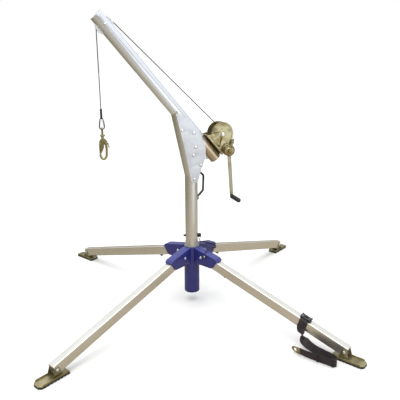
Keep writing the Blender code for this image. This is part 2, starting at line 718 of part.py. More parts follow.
def make_mast():
    mast = as_mesh(mast_line(MAST_R, "mast_tube", ALUMINIUM, MAST_FOOT_Z, 0.40))
    bore = as_mesh(mast_line(MAST_R - MAST_WALL, "bore", None, MAST_FOOT_Z - 0.1, 0.50))
    reach = BOOM_R + GAP
    saddle = cylinder("saddle", reach, (-0.4, 0, 0), (0.5, 0, 0), BOOM_FRAME, sides=38)
    above = box("above", (-0.4, -0.1, -0.004), (0.5, 0.1, 0.4), BOOM_FRAME)
    side = PLATE_FACE + 0.02
    holes = [cylinder("hole", PLATE_BOLT_R + GAP, (-u, -side, z), (-u, side, z), MAST_FRAME,
                      sides=12) for u, z in MAST_BOLTS]
    pin = cylinder("hole", PIN_R + GAP, radial(PIN_AZIMUTH) * -0.1 + Vector((0, 0, PIN_Z)),
                   radial(PIN_AZIMUTH) * 0.1 + Vector((0, 0, PIN_Z)), MAST_FRAME, sides=12)
    cut(mast, bore, saddle, above, pin, *holes)


def make_boom():
    boom = cylinder("boom_tube", BOOM_R, (BOOM_TAIL, 0, 0), (BOOM_TIP, 0, 0), BOOM_FRAME, ALUMINIUM,
                    sides=36)
    bore = cylinder("bore", BOOM_R - BOOM_WALL, (BOOM_TAIL - 0.01, 0, 0), (BOOM_TIP + 0.01, 0, 0),
                    BOOM_FRAME, sides=36)
    half = math.sqrt(SHEAVE_RIM_R**2 - (BOOM_R - BOOM_WALL)**2) + 0.002
    slot = box("slot", (SHEAVE_AT - half, -SLOT_WIDTH / 2, -0.06),
               (SHEAVE_AT + half, SLOT_WIDTH / 2, 0.06), BOOM_FRAME)
    pins = [(SHEAVE_AT, SHEAVE_AXLE_R), (KEEPER_AT, KEEPER_R)]
    holes = [cylinder("hole", r + GAP, (s, -0.06, 0), (s, 0.06, 0), BOOM_FRAME, sides=12) for s, r in pins]
    side = PLATE_FACE + 0.02
    holes += [cylinder("hole", PLATE_BOLT_R + GAP, (-u, -side, z), (-u, side, z), MAST_FRAME,
                       sides=12) for u, z in BOOM_BOLTS]
    holes += [cylinder("hole", WINCH_BOLT_R + GAP, (s, 0, -0.06), (s, 0, 0.06), BOOM_FRAME,
                       sides=12) for s in WINCH_BOLTS]
    cut(boom, bore, slot, *holes)


def make_plates():
    outline = rounded([(-u, z, r) for u, z, r in PLATE_OUTLINE], 0.2)
    holes = [circle((-u, z), PLATE_BOLT_R + GAP) for u, z in (*MAST_BOLTS, *BOOM_BOLTS, *SPACED_BOLTS)]
    for name, s in (("side_plate_near", -1), ("side_plate_far", 1)):
        place = Matrix.Translation((0, s * (PLATE_FACE + PLATE / 2), 0)) @ Matrix.Rotation(math.pi / 2, 4,
                                                                                           "X")
        plate = flat(name, [outline, *holes], PLATE, MAST_FRAME, PLATE_ALUMINIUM, place)
        plate.data.materials.clear()
        plate.data.materials.append(PLATE_ALUMINIUM)


def make_plate_bolts():
    face = PLATE_FACE + PLATE + GAP
    inset = face - PLATE_FACE + GAP
    spots = [(spot, None) for spot in (*MAST_BOLTS, *BOOM_BOLTS)] + [(spot,
                                                                      (SPACER_R,
                                                                       inset)) for spot in SPACED_BOLTS]
    for i, ((u, z), collar) in enumerate(spots):
        bolt(f"plate_bolt_{i + 1}", PLATE_BOLT_R, 2 * face, 0.0095, 0.0055,
             facing((-u, -face, z), (0, -1, 0)), MAST_FRAME,
             BRIGHT_STEEL, collar=collar)


def make_handle():
    face = MAST_R + GAP
    line = [(face - 0.012, 0, HANDLE_TOP_Z), (face + 0.008, 0, HANDLE_TOP_Z),
            (HANDLE_REACH, 0, HANDLE_TOP_Z - 0.030),
            (HANDLE_REACH - 0.003, 0, HANDLE_BOTTOM_Z + 0.028), (face + 0.010, 0, HANDLE_BOTTOM_Z),
            (face - 0.012, 0, HANDLE_BOTTOM_Z)]
    handle = as_mesh(rod("carry_handle", bent(line, 0.014), HANDLE_R, MAST_FRAME, BLACK_PLASTIC))
    for z, s in ((HANDLE_TOP_Z, 1), (HANDLE_BOTTOM_Z, -1)):
        low, high = sorted((z - s * 0.006, z + s * 0.026))
        weld(handle, box("foot", (face - 0.010, -0.009, low), (face + 0.006, 0.009, high), MAST_FRAME))
    for z in HANDLE_SCREWS:
        weld(handle, bolt("screw", 0.003, 0.004, 0.0055, 0.003, facing((face + 0.0059, 0, z), (1, 0, 0)),
                          MAST_FRAME, None, nut=False))
    cut(handle, cylinder("mast", face, (0, 0, 0.5), (0, 0, 1.0), MAST_FRAME, sides=64))


# Head sheave, keeper and rope
def make_head():
    parent = frame("sheave_frame", boom_point(SHEAVE_AT, 0, 0), BOOM_AXES)
    root = SHEAVE_PITCH_R - ROPE_R - GAP
    w, boss = SHEAVE_WIDTH / 2, BOOM_R - BOOM_WALL - 0.0017
    hub_r = 0.0085
    half = [(SHEAVE_AXLE_R + GAP, boss), (hub_r, boss), (hub_r, w * 0.6), (SHEAVE_RIM_R - 0.012, w * 0.6),
            (SHEAVE_RIM_R - 0.007, w), (SHEAVE_RIM_R, w), (SHEAVE_RIM_R, w - 0.0015),
            (root + 0.002, ROPE_R + 0.001), (root, 0.0016)]
    profile = half + [(r, -z) for r, z in reversed(half)]
    turned("head_sheave", profile, parent, BRIGHT_STEEL, TO_Y, sides=28, closed=True)
    length = 2 * (BOOM_R + GAP)
    for name, at, r, head_r, head_h in (("sheave_axle", SHEAVE_AT, SHEAVE_AXLE_R, 0.0085, 0.005),
                                        ("rope_keeper", KEEPER_AT, KEEPER_R, 0.006, 0.003)):
        bolt(name, r, length, head_r, head_h, facing((at, length / 2, 0), (0, 1, 0)), BOOM_FRAME,
             BRIGHT_STEEL)


def rope_tangent():
    """The rope's upper run in the boom's axes, as its ends on the sheave and on the drum."""
    sheave, drum = Vector((SHEAVE_AT, 0.0)), Vector(DRUM_AT)
    run = drum - sheave
    angle = math.atan2(run.y, run.x) - math.asin((SHEAVE_PITCH_R - DRUM_ROPE_R) / run.length)
    normal = Vector((math.sin(angle), -math.cos(angle)))
    return sheave + normal * SHEAVE_PITCH_R, drum + normal * DRUM_ROPE_R


def make_rope():
    """Over the sheave from the fall's top, then straight to where the run meets the winding."""
    top, end = rope_tangent()
    centre = Vector((SHEAVE_AT, 0.0))
    start_angle = math.atan2(top.y, top.x - SHEAVE_AT)
    arc = [centre + SHEAVE_PITCH_R * Vector((math.cos(a), math.sin(a))) for a in np.linspace(-BOOM_ANGLE,
                                                                                             start_angle,
                                                                                             14)]
    clear = math.sqrt((DRUM_ROPE_R + 2 * ROPE_R + GAP)**2 - DRUM_ROPE_R**2)
    line = [*arc, end - (end - top).normalized() * clear]
    rod("rope_run", [(p.x, 0.0, p.y) for p in line], ROPE_R, BOOM_FRAME, WIRE)


def fall_x():
    return -(math.cos(BOOM_ANGLE) * SHEAVE_AT + SHEAVE_PITCH_R)


def fall_top_z():
    return BOOM_CROSS_Z + math.sin(BOOM_ANGLE) * SHEAVE_AT


def make_fall():
    x = fall_x()
    levels = np.linspace(fall_top_z() - GAP, SLEEVE_TOP_Z + GAP, 9)
    rod("rope_fall", [(x, 0, z) for z in levels], ROPE_R, MAST_FRAME, WIRE)


# Winch, in the boom's axes
STAND_XZ = axes(Vector((1, 0, 0)), Vector((0, 0, 1)), Vector((0, -1, 0))).to_4x4()


def across(y):
    """Places a flat drawn in (x, z) at this y."""
    return Matrix.Translation((0, y, 0)) @ STAND_XZ


def frame_outline():
    (ds, dz), (ps, pz), (ws, wz) = DRUM_AT, SHAFT_AT, PAWL_AT
    low = WINCH_BASE + WINCH_STEEL / 2
    return rounded([
        (WINCH_FROM + 0.004, low, 0.0), (WINCH_TO - 0.006, low, 0.0), (ds + 0.019, dz + 0.006,
                                                                       0.02), (ds + 0.004, dz + 0.020,
                                                                               0.014),
        (ds - 0.018, dz + 0.013, 0.02), (ws + 0.016, wz - 0.006, 0.02), (ws + 0.010, wz + 0.011, 0.006),
        (ws - 0.014, wz + 0.009, 0.006), (ps - 0.016, pz + 0.022, 0.02), (WINCH_FROM - 0.002, pz - 0.008,
                                                                          0.012),
    ])


def window_outline():
    ds, dz = DRUM_AT
    low = WINCH_BASE + WINCH_STEEL + 0.008
    return rounded([(ds - 0.046, low, 0.006), (ds + 0.034, low, 0.006), (ds + 0.007, dz - 0.017, 0.005),
                    (ds - 0.010, dz - 0.017, 0.005)])


def make_winch_frame():
    low = WINCH_BASE
    body = box("winch_frame", (WINCH_FROM, WINCH_REAR_Y, low), (WINCH_TO, FRONT_FACE, low + WINCH_STEEL),
               BOOM_FRAME, GOLD_ZINC)
    holes = [circle(DRUM_AT, DRUM_AXLE_R + GAP, 20), circle(SHAFT_AT, SHAFT_R + GAP, 20), window_outline()]
    for y in (WINCH_REAR_Y + SIDE_STEEL / 2, FRONT_FACE - SIDE_STEEL / 2):
        weld(body, flat("side", [frame_outline(), *holes], SIDE_STEEL - 0.0002, BOOM_FRAME, None,
                        across(y)))
    for s in WINCH_BOLTS:
        grip = low + WINCH_STEEL + BOOM_R + GAP
        weld(body, bolt("winch_bolt", WINCH_BOLT_R, grip, 0.009, 0.005,
                        Matrix.Translation((s, 0, low + WINCH_STEEL - 0.0001)), BOOM_FRAME, None))
    stud = Vector((PAWL_AT[0], FRONT_FACE + 0.0130, PAWL_AT[1]))
    weld(body, bolt("pawl_stud", 0.004, 0.0135, 0.007, 0.003, facing(stud, (0, 1, 0)), BOOM_FRAME, None,
                    nut=False))


def gear_outline(teeth, phase):
    """Straight-flanked teeth of four points each, with a tooth at this angle."""
    pitch_r = teeth * GEAR_MODULE / 2
    top, root = pitch_r + 0.9 * GEAR_MODULE, pitch_r - 1.2 * GEAR_MODULE
    step = 2 * math.pi / teeth
    outline = []
    for i in range(teeth):
        for turn, r in ((-0.29, root), (-0.11, top), (0.11, top), (0.29, root)):
            a = phase + (i + turn) * step
            outline.append(Vector((r * math.cos(a), r * math.sin(a))))
    return outline


def make_drum():
    parent = frame("drum_frame", boom_point(DRUM_AT[0], 0, DRUM_AT[1]), BOOM_AXES)
    hub, rim = DRUM_HUB_R, DRUM_FLANGE_R
    rear, front = -DRUM_HALF, DRUM_HALF
    ends = (WINCH_REAR_Y + SIDE_STEEL + GAP, WINCH_FRONT_Y - GAP)
    profile = [(0.0, ends[1]), (hub, ends[1]), (hub, front + FLANGE), (rim, front + FLANGE), (rim, front),
               (DRUM_CORE_R, front),
               (DRUM_CORE_R, rear), (rim, rear), (rim, rear - FLANGE), (hub, rear - FLANGE),
               (hub, ends[0]), (0.0, ends[0])]
    drum = turned("winch_drum", profile, parent, GOLD_ZINC, TO_Y, sides=28)
    gear = flat("gear", [gear_outline(GEAR_TEETH, PINION_DIRECTION)], GEAR_WIDTH, parent, None,
                across(GEAR_Y + GEAR_WIDTH / 2))
    weld(drum, gear)
    cut(drum, cylinder("bore", DRUM_AXLE_R + GAP, (0, -0.06, 0), (0, 0.06, 0), parent, sides=24))
    inner, outer = DRUM_CORE_R + GAP, DRUM_ROPE_R + ROPE_R
    edge = DRUM_HALF - GAP
    wraps = int(edge / ROPE_R)
    crests = [(outer if i % 2 else outer - 0.65 * ROPE_R,
               edge - i * edge / wraps) for i in range(2 * wraps + 1)]
    turned("rope_winding", [*crests, (inner, -edge), (inner, edge)], parent, WIRE, TO_Y, sides=20,
           closed=True)
    length = FRONT_FACE - WINCH_REAR_Y + 2 * GAP
    bolt("drum_axle", DRUM_AXLE_R, length, 0.013, 0.007,
         facing((DRUM_AT[0], FRONT_FACE + GAP, DRUM_AT[1]), (0, 1, 0)), BOOM_FRAME, BRIGHT_STEEL)


CRANK_DOWN = Vector((math.sin(CRANK_LEAN), 0, -math.cos(CRANK_LEAN)))
CRANK_AXES = axes(CRANK_DOWN, Vector((0, -1, 0)), CRANK_DOWN.cross(Vector((0, -1, 0))))


def make_crank():
    parent = frame("crank_frame", boom_point(SHAFT_AT[0], 0, SHAFT_AT[1]), CRANK_AXES)
    shaft = cylinder("pinion_shaft", SHAFT_R, (0, WINCH_REAR_Y - 0.006, 0),
                     (0, CAP_Y + CAP + 0.010, 0), parent, BRIGHT_STEEL, sides=20)
    to_drum = -(BOOM_X * math.cos(PINION_DIRECTION) + BOOM_Z * math.sin(PINION_DIRECTION))
    phase = math.atan2(to_drum.dot(CRANK_DOWN.cross(Vector((0, -1, 0)))), to_drum.dot(CRANK_DOWN))
    phase += math.pi / PINION_TEETH
    pinion = flat("pinion", [gear_outline(PINION_TEETH, phase)], GEAR_WIDTH - 0.001, parent, None,
                  across(GEAR_Y + GEAR_WIDTH / 2))
    disc = cylinder("disc", DISC_R, (0, INNER_DISC_Y, 0), (0, INNER_DISC_Y + 0.004, 0), parent, sides=24)
    collar = cylinder("collar", SHAFT_R + 0.004, (0, WINCH_REAR_Y - 0.005, 0), (0, WINCH_REAR_Y - GAP, 0),
                      parent, sides=20)
    nut = cylinder("nut", SHAFT_R + 0.005, (0, CAP_Y + CAP + GAP, 0), (0, CAP_Y + CAP + 0.008, 0), parent,
                   sides=6)
    weld(shaft, pinion, disc, collar, nut)
    make_ratchet(parent)
    arm = flat("crank_arm", [rounded([(-0.015, -0.011, 0.009),
                                      (CRANK_LENGTH + 0.012, -CRANK_WIDTH / 2, 0.009),
                                      (CRANK_LENGTH + 0.012, CRANK_WIDTH / 2, 0.009),
                                      (-0.015, 0.011, 0.009)])],
               CRANK_STEEL, parent, GOLD_ZINC, across(ARM_Y + CRANK_STEEL / 2))
    weld(arm, cylinder("pressure_disc", DISC_R, (0, OUTER_DISC_Y, 0), (0, OUTER_DISC_Y + 0.005, 0), parent,
                       sides=24),
         cylinder("hub", 0.017, (0, OUTER_DISC_Y + 0.002, 0), (0, ARM_Y + 0.003, 0), parent, sides=24),
         cylinder("cap", DISC_R, (0, CAP_Y, 0), (0, CAP_Y + CAP, 0), parent, sides=28))
    end = ARM_Y + CRANK_STEEL + GRIP_LENGTH + 2 * GAP
    pin = bolt("grip_pin", 0.005, GRIP_LENGTH + 0.004, 0.009, 0.004,
               facing((CRANK_LENGTH, end, 0), (0, 1, 0)), parent, None, nut=False)
    weld(arm, pin)
    cut(arm, cylinder("hole", SHAFT_R + GAP, (0, OUTER_DISC_Y - 0.01, 0), (0, CAP_Y + 0.02, 0), parent,
                      sides=20))
    grip_frame = frame("grip_frame", parent.matrix_world @ Vector((CRANK_LENGTH, 0, 0)), CRANK_AXES)
    low, high = ARM_Y + CRANK_STEEL + GAP, end - GAP
    ribs = [(GRIP_R * (1.0 if i % 2 else 0.86),
             low + 0.004 + i * (high - low - 0.008) / 14) for i in range(15)]
    profile = [(0.0053, low), (GRIP_R * 0.8, low), *ribs, (GRIP_R * 0.8, high), (0.0053, high)]
    turned("crank_grip", profile[::-1], grip_frame, BLACK_PLASTIC, TO_Y, sides=16, closed=True)


def make_ratchet(parent):
    step = 2 * math.pi / RATCHET_TEETH
    teeth = []
    for i in range(RATCHET_TEETH):
        for turn, r in ((0.0, RATCHET_R - 0.005), (0.08, RATCHET_R), (0.2, RATCHET_R)):
            a = (i + turn) * step
            teeth.append(Vector((r * math.cos(a), r * math.sin(a))))
    wheel = flat("ratchet_wheel", [teeth, circle((0, 0), SHAFT_R + GAP, 20)], RATCHET_WIDTH, parent,
                 OLIVE_ZINC, across(RATCHET_Y + RATCHET_WIDTH / 2))


def make_pawl():
    parent = frame("pawl_frame", boom_point(PAWL_AT[0], 0, PAWL_AT[1]), BOOM_AXES)
    toward = Vector(SHAFT_AT) - Vector(PAWL_AT)
    reach = toward.length - RATCHET_R - 0.0006
    x, y = toward.normalized(), Vector((-toward.y, toward.x)).normalized()
    corners = [(reach, -0.004, 0.0), (reach, 0.001, 0.0), (0.006, 0.009, 0.006), (-0.018, 0.007, 0.005),
               (-0.020, -0.001, 0.004), (-0.006, -0.008, 0.006)]
    outline = rounded([(*(x * a + y * b), r) for a, b, r in corners])
    pawl = flat("pawl", [outline, circle((0, 0), 0.0044, 16)], RATCHET_WIDTH - 0.001, parent, OLIVE_ZINC,
                across(RATCHET_Y + RATCHET_WIDTH / 2))


# Hook
def make_hook():
    x = fall_x()
    block = frame("hook_block_frame", (x, 0, SLEEVE_TOP_Z))
    drop = SLEEVE_BOTTOM_Z - SLEEVE_TOP_Z
    eye = turned("rope_eye", [(0.0, 0.0), (SLEEVE_R - 0.001, 0.0), (SLEEVE_R, -0.002),
                              (SLEEVE_R, drop + 0.002), (SLEEVE_R - 0.001, drop), (0.0, drop)],
                 block, BLACK_PLASTIC, sides=12)
    bottom = BAIL_TOP_Z - SLEEVE_TOP_Z - BAIL_R - THIMBLE_R - GAP
    rope_low = bottom - THIMBLE_R - ROPE_R + THIMBLE_BITE
    wide = THIMBLE_HALF + THIMBLE_R + ROPE_R - THIMBLE_BITE
    weld(eye, rod("loop", teardrop(wide, rope_low, drop + 0.012, 0.0022), ROPE_R, block, None))
    weld(eye, rod("thimble", teardrop(THIMBLE_HALF, bottom, drop - 0.004, 0.0)[1:], THIMBLE_R, block, None,
                  closed=True))
    make_bail(block)
    make_snap_hook(x)


def teardrop(half, low, high, spread):
    """Down one side, round the bottom and up the other."""
    centre = low + half
    down = [(-spread, 0.0, high), (-half * 0.8, 0.0, centre + 0.55 * (high - centre))]
    arc = [(-half * math.cos(a), 0.0, centre - half * math.sin(a)) for a in np.linspace(0.0, math.pi, 9)]
    up = [(half * 0.8, 0.0, centre + 0.55 * (high - centre)), (spread, 0.0, high)]
    return [*down, *arc, *up]


def make_bail(block):
    top = BAIL_TOP_Z - SLEEVE_TOP_Z
    collar = NECK_TOP_Z - SLEEVE_TOP_Z
    half = BAIL_HALF
    arc = [(0.0, -half * math.cos(a), top - half + half * math.sin(a)) for a in np.linspace(0.0, math.pi,
                                                                                            9)]
    line = [(0.0, -half * 0.85, collar + 0.001), *arc, (0.0, half * 0.85, collar + 0.001)]
    bail = as_mesh(rod("swivel_bail", line, BAIL_R, block, OLIVE_ZINC))
    rings = ring("collar", 0.0135, STEM_R + GAP, collar - 0.004, collar + 0.004, block, None, sides=24)
    weld(bail, rings)
    cut(bail, cylinder("bore", STEM_R + GAP, (0, 0, collar - 0.01), (0, 0, collar + 0.0045), block,
                       sides=20))


def make_snap_hook(x):
    turn = Matrix.Rotation(HOOK_TURN, 3, "Z")
    top = NECK_TOP_Z - 0.004 - GAP
    parent = frame("hook_frame", (x, 0, top), turn)
    line = through([(px, 0.0, pz) for px, pz in HOOK_LINE], 20)
    hook = as_mesh(rod("hook_body", line, HOOK_R, parent, OLIVE_ZINC))
    stem = turned("stem", [(0.0, 0.0120), (0.0060, 0.0120), (0.0060, 0.0088), (STEM_R, 0.0088),
                           (STEM_R, 0.0), (0.0085, 0.0), (0.0085, -0.006), (0.0060, -0.024), (0.0, -0.024)],
                  parent, None, sides=20)
    head = flat("head", [rounded(HOOK_HEAD)], 0.0105, parent, None, across(0.0))
    weld(hook, stem, head)
    slot = LEVER_STEEL / 2 + GAP
    clear = box("gate_space", (GATE_HINGE[0] - 0.0075, -slot, GATE_HINGE[1] - 0.030),
                (GATE_HINGE[0] + 0.0085, slot, GATE_HINGE[1] + 0.0065), parent)
    lock_clear = box("lock_space", (LOCK_HINGE[0] - 0.0075, -slot, LOCK_HINGE[1] - 0.030),
                     (LOCK_HINGE[0] + 0.02, slot, LOCK_HINGE[1] + 0.0062), parent)
    cut(hook, clear, lock_clear)
    for hx, hz in (GATE_HINGE, LOCK_HINGE):
        weld(hook, cylinder("rivet", RIVET_R, (hx, -0.0058, hz), (hx, 0.0058, hz), parent, sides=10))
    place = parent.matrix_world.copy()
    gate, pivot = lever("hook_gate", place, turn, GATE_HINGE, GATE_OUTLINE)
    for y in (CHEEK_INNER_Y + CHEEK / 2, -CHEEK_INNER_Y - CHEEK / 2):
        weld(gate, flat("cheek", [rounded(CHEEK_OUTLINE), circle((0, 0), RIVET_R + GAP, 10)], CHEEK, pivot,
                        None, across(y)))
    (web_x, web_z), (edge_x, edge_z) = CHEEK_WEB
    side = CHEEK_INNER_Y + CHEEK / 2
    weld(gate, box("web", (web_x, -side, web_z), (edge_x, side, edge_z), pivot, None))
    lever("gate_lock", place, turn, LOCK_HINGE, LOCK_OUTLINE)


def lever(name, place, turn, hinge, corners):
    pivot = frame(name + "_frame", place @ Vector((hinge[0], 0.0, hinge[1])), turn)
    made = flat(name, [rounded(corners), circle((0, 0), RIVET_R + GAP, 10)], LEVER_STEEL, pivot, OLIVE_ZINC,
                across(0.0))
    return made, pivot


# Mast pin and lanyard
def make_pin():
    out = radial(PIN_AZIMUTH)
    up = Vector((0, 0, 1))
    parent = frame("pin_frame", (0, 0, PIN_Z), axes(out, up.cross(out), up))
    face = MAST_R + GAP
    reach = face + PIN_HEAD_LENGTH
    tip = -face - 0.012
    profile = [(0.0, reach), (PIN_HEAD_R - 0.003, reach), (PIN_HEAD_R, reach - 0.003),
               (PIN_HEAD_R, face + 0.002), (PIN_HEAD_R - 0.002, face), (PIN_R, face),
               (PIN_R, tip + 0.003), (PIN_R - 0.002, tip), (0.0, tip)]
    pin = turned("mast_pin", profile, parent, BLACK_PLASTIC, TO_X, sides=20)
    drop = -PIN_HEAD_R - PIN_EYE_R + 0.0027
    eye = [(face + PIN_HEAD_LENGTH / 2 + PIN_EYE_R * math.sin(a), 0.0,
            drop + PIN_EYE_R * math.cos(a)) for a in np.linspace(0.0, 2 * math.pi, 13)[:-1]]
    weld(pin, rod("eye", eye, PIN_EYE_WIRE, parent, None, closed=True))


def channel_top(r):
    return CHANNEL_TOP_Z - (CHANNEL_TOP_Z - CHANNEL_SHOULDER[1]) / (CHANNEL_SHOULDER[0] - HUB_R) * (r - HUB_R)


def clip_place():
    k = LEG_COUNT - 1
    out, side = radial(leg_azimuth(k)), radial(leg_azimuth(k) + math.pi / 2)
    cheek = LEG_WIDTH / 2 + RUNNING + CHANNEL_WALL + GAP
    place = out * CLIP_AT - side * cheek + Vector((0, 0, channel_top(CLIP_AT) - CLIP_BELOW))
    return place, axes(out, side, Vector((0, 0, 1)))


def make_lanyard():
    place, turn = clip_place()
    parent = frame("clip_frame", place, turn)
    clip = box("lanyard_clip", (-0.010, -0.0075, -0.008), (0.010, 0.0, 0.009), parent, BLACK_PLASTIC)
    weld(clip, bolt("clip_bolt", 0.003, 0.004, 0.0055, 0.003, facing((0.0, -0.0074, 0), (0, -1, 0)),
                    parent, None, nut=False))
    out, up = radial(PIN_AZIMUTH), Vector((0, 0, 1))
    below = PIN_HEAD_R - 0.0027 + 2 * PIN_EYE_R + PIN_EYE_WIRE + LANYARD_R + GAP
    eye = out * (MAST_R + GAP + 0.011) + up * (PIN_Z - below)
    start = [eye, eye - up * 0.0065 + out * 0.0004,
             eye - up * 0.0125 + out * 0.0035 + Vector((0, 0.001, 0)),
             eye - up * 0.0172 + out * 0.0105 + Vector((0, 0.005, 0))]
    centre = Vector((*LOOP_CENTRE, 0.0))
    long_way, short_way = (radial(LOOP_TURNED) * LOOP_REACH[0],
                           radial(LOOP_TURNED + math.pi / 2) * LOOP_REACH[1])
    loops = []
    for i in range(LOOP_STEPS):
        a = math.radians(120.0 - 30.0 * i)
        p = centre + long_way * math.cos(a) + short_way * math.sin(a)
        loops.append(p + up * (LOOP_Z - LOOP_FALL * (p.length - 0.06) + LOOP_RISE * (LOOP_STEPS - i) / 12))
    foot = place + turn @ Vector((0.0, -0.0038, 0.0))
    back = (Vector((0.0109, 0.0128, 0.0))).normalized()
    end = [Vector((0.0845, -0.0885, 0.3632)), *[foot + back * far + up * high for far, high in CLIP_LINE]]
    rod("lanyard", through([*start, *loops, *end], 72), LANYARD_R, BASE_FRAME, BLACK_PLASTIC)


# Strap on the last leg
def strap_leg():
    return next(thing for thing in PARTS.objects if thing.name == f"leg_frame_{LEG_COUNT}").matrix_world


def ribbon(name, centres, widths, thickness, parent, paint, width=WEB_WIDTH):
    """A flat band lofted through centres, each with the direction of its width."""
    bm = bmesh.new()
    rows = []
    for i, centre in enumerate(centres):
        along = (centres[min(i + 1, len(centres) - 1)] - centres[max(i - 1, 0)]).normalized()
        across_band = (widths[i] - along * widths[i].dot(along)).normalized()
        normal = along.cross(across_band)
        corners = [across_band * (a * width / 2) + normal * (b * thickness / 2) for a,
                   b in ((-1, -1), (1, -1), (1, 1), (-1, 1))]
        rows.append([bm.verts.new(centre + c) for c in corners])
    for first, second in zip(rows, rows[1:]):
        for j in range(4):
            bm.faces.new((first[j], first[(j + 1) % 4], second[(j + 1) % 4], second[j]))
    bm.faces.new(rows[0])
    bm.faces.new(reversed(rows[-1]))
    return from_bmesh(name, bm, parent, paint)


def strap_keys():
    """The strap's points as (place, width direction), from the buckle to its free end on the ground."""
    leg = strap_leg()
    x = (STRAP_AT - LEG_PIVOT_R) / math.cos(LEG_SLOPE)
    azimuth = leg_azimuth(LEG_COUNT - 1)
    out, side, up = radial(azimuth), radial(azimuth + math.pi / 2), Vector((0, 0, 1))
    outer = GAP + WEB + WEB / 2 - 0.0004
    top, near = LEG_HEIGHT / 2 + outer, LEG_WIDTH / 2 + outer
    along = leg.to_3x3() @ Vector((1, 0, 0))
    keys = [(leg @ Vector((x, y, z)), along) for y, z in (
        (0.010, top), (-0.008, top), (-near + 0.006, top - 0.0005), (-near - 0.0002, top - 0.007),
        (-near - 0.0006, 0.0), (-near - 0.001, -0.020))]
    keys += [(out * r + side * t + up * z, out * w[0] + side * w[1] + up * w[2]) for r, t, z,
             w in STRAP_LINE]
    return keys


def make_strap():
    leg = bpy.data.objects[f"leg_frame_{LEG_COUNT}"]
    x = (STRAP_AT - LEG_PIVOT_R) / math.cos(LEG_SLOPE)
    w, h = LEG_WIDTH / 2 + GAP, LEG_HEIGHT / 2 + GAP
    outer = rounded([(-w - WEB, -h - WEB, 0.006), (w + WEB, -h - WEB, 0.006), (w + WEB, h + WEB, 0.006),
                     (-w - WEB, h + WEB, 0.006)], 0.4)
    inner = rounded([(-w, -h, 0.0035), (w, -h, 0.0035), (w, h, 0.0035), (-w, h, 0.0035)], 0.4)
    place = Matrix.Translation((x, 0, 0)) @ axes(Vector((0, 1, 0)), Vector((0, 0, 1)),
                                                 Vector((1, 0, 0))).to_4x4()
    loop = flat("loop", [outer, inner], WEB_WIDTH, leg, None, place)
    keys = strap_keys()
    count = 52
    into = leg.matrix_world.inverted()
    centres = [into @ Vector(p) for p in through([k[0] for k in keys], count)]
    widths = [into.to_3x3() @ Vector(p) for p in through([k[1] for k in keys], count)]
    weld(ribbon("leg_strap", centres, widths, WEB, leg, WEBBING), loop)
    make_buckle(leg, x)
    make_strap_end(centres, widths)


def make_buckle(leg, x):
    low = LEG_HEIGHT / 2 + 2 * WEB + 2 * GAP
    half = WEB_WIDTH / 2
    body = box("strap_buckle", (x - half - 0.006, -0.020, low), (x + half + 0.006, 0.020, low + 0.002),
               leg, BLACK_PLASTIC)
    for s in (-1, 1):
        y0 = x + s * (half + 0.0045)
        weld(body, box("cheek", (y0 - 0.0015, -0.019, low + 0.001), (y0 + 0.0015, 0.019, low + 0.012), leg))
    weld(body, cylinder("bar", 0.002, (x - half - 0.005, 0.012, low + 0.007),
                        (x + half + 0.005, 0.012, low + 0.007), leg, sides=12))
    pivot = frame("buckle_lever_frame", leg.matrix_world @ Vector((x, 0.012, low + 0.007)),
                  leg.matrix_world.to_3x3())
    reach = half + 0.0025
    plate = box("buckle_lever", (-reach, -0.030, 0.0008), (reach, 0.0, 0.0034), pivot, BRIGHT_STEEL)
    weld(plate, box("knuckle", (-reach, -0.0034, -0.0034), (reach, 0.0034, 0.0035), pivot))
    cut(plate, cylinder("bore", 0.002 + GAP, (-0.05, 0, 0), (0.05, 0, 0), pivot, sides=12),
        box("window", (-0.013, -0.024, -0.01), (0.013, -0.009, 0.01), pivot))


def make_strap_end(centres, widths):
    along = (centres[-1] - centres[-4]).normalized()
    wide = (widths[-1] - along * widths[-1].dot(along)).normalized()
    normal = along.cross(wide)
    leg = strap_leg()
    parent = frame("strap_end_frame", leg @ (centres[-1] + along * GAP),
                   leg.to_3x3() @ axes(along, wide, normal))
    outline = rounded([(0.0, -0.024, 0.0), (0.010, -0.0245, 0.003), (0.034, -0.021, 0.008),
                       (0.050, -0.010, 0.012), (0.050, 0.010, 0.012), (0.034, 0.021, 0.008),
                       (0.010, 0.0245, 0.003), (0.0, 0.024, 0.0)])
    slot = rounded([(0.022, -0.013, 0.003), (0.036, -0.008, 0.003), (0.036, 0.008, 0.003),
                    (0.022, 0.013, 0.003)])
    end = flat("strap_end", [outline, slot], 0.0035, parent, GOLD_ZINC, Matrix.Identity(4))


def main():
    make_hub()
    make_bushes()
    make_leg_bolts()
    for k in range(LEG_COUNT):
        make_leg(k)
        make_foot(k)
    make_mast()
    make_boom()
    make_plates()
    make_plate_bolts()
    make_handle()
    make_head()
    make_rope()
    make_fall()
    make_winch_frame()
    make_drum()
    make_crank()
    make_pawl()
    make_hook()
    make_pin()
    make_lanyard()
    make_strap()


main()
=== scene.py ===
# Rescue davit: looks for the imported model. Metres, +Z up, boom towards -X, crank towards -Y.
import json
import math

import bmesh
import bpy
import numpy as np
from mathutils import Matrix, Vector


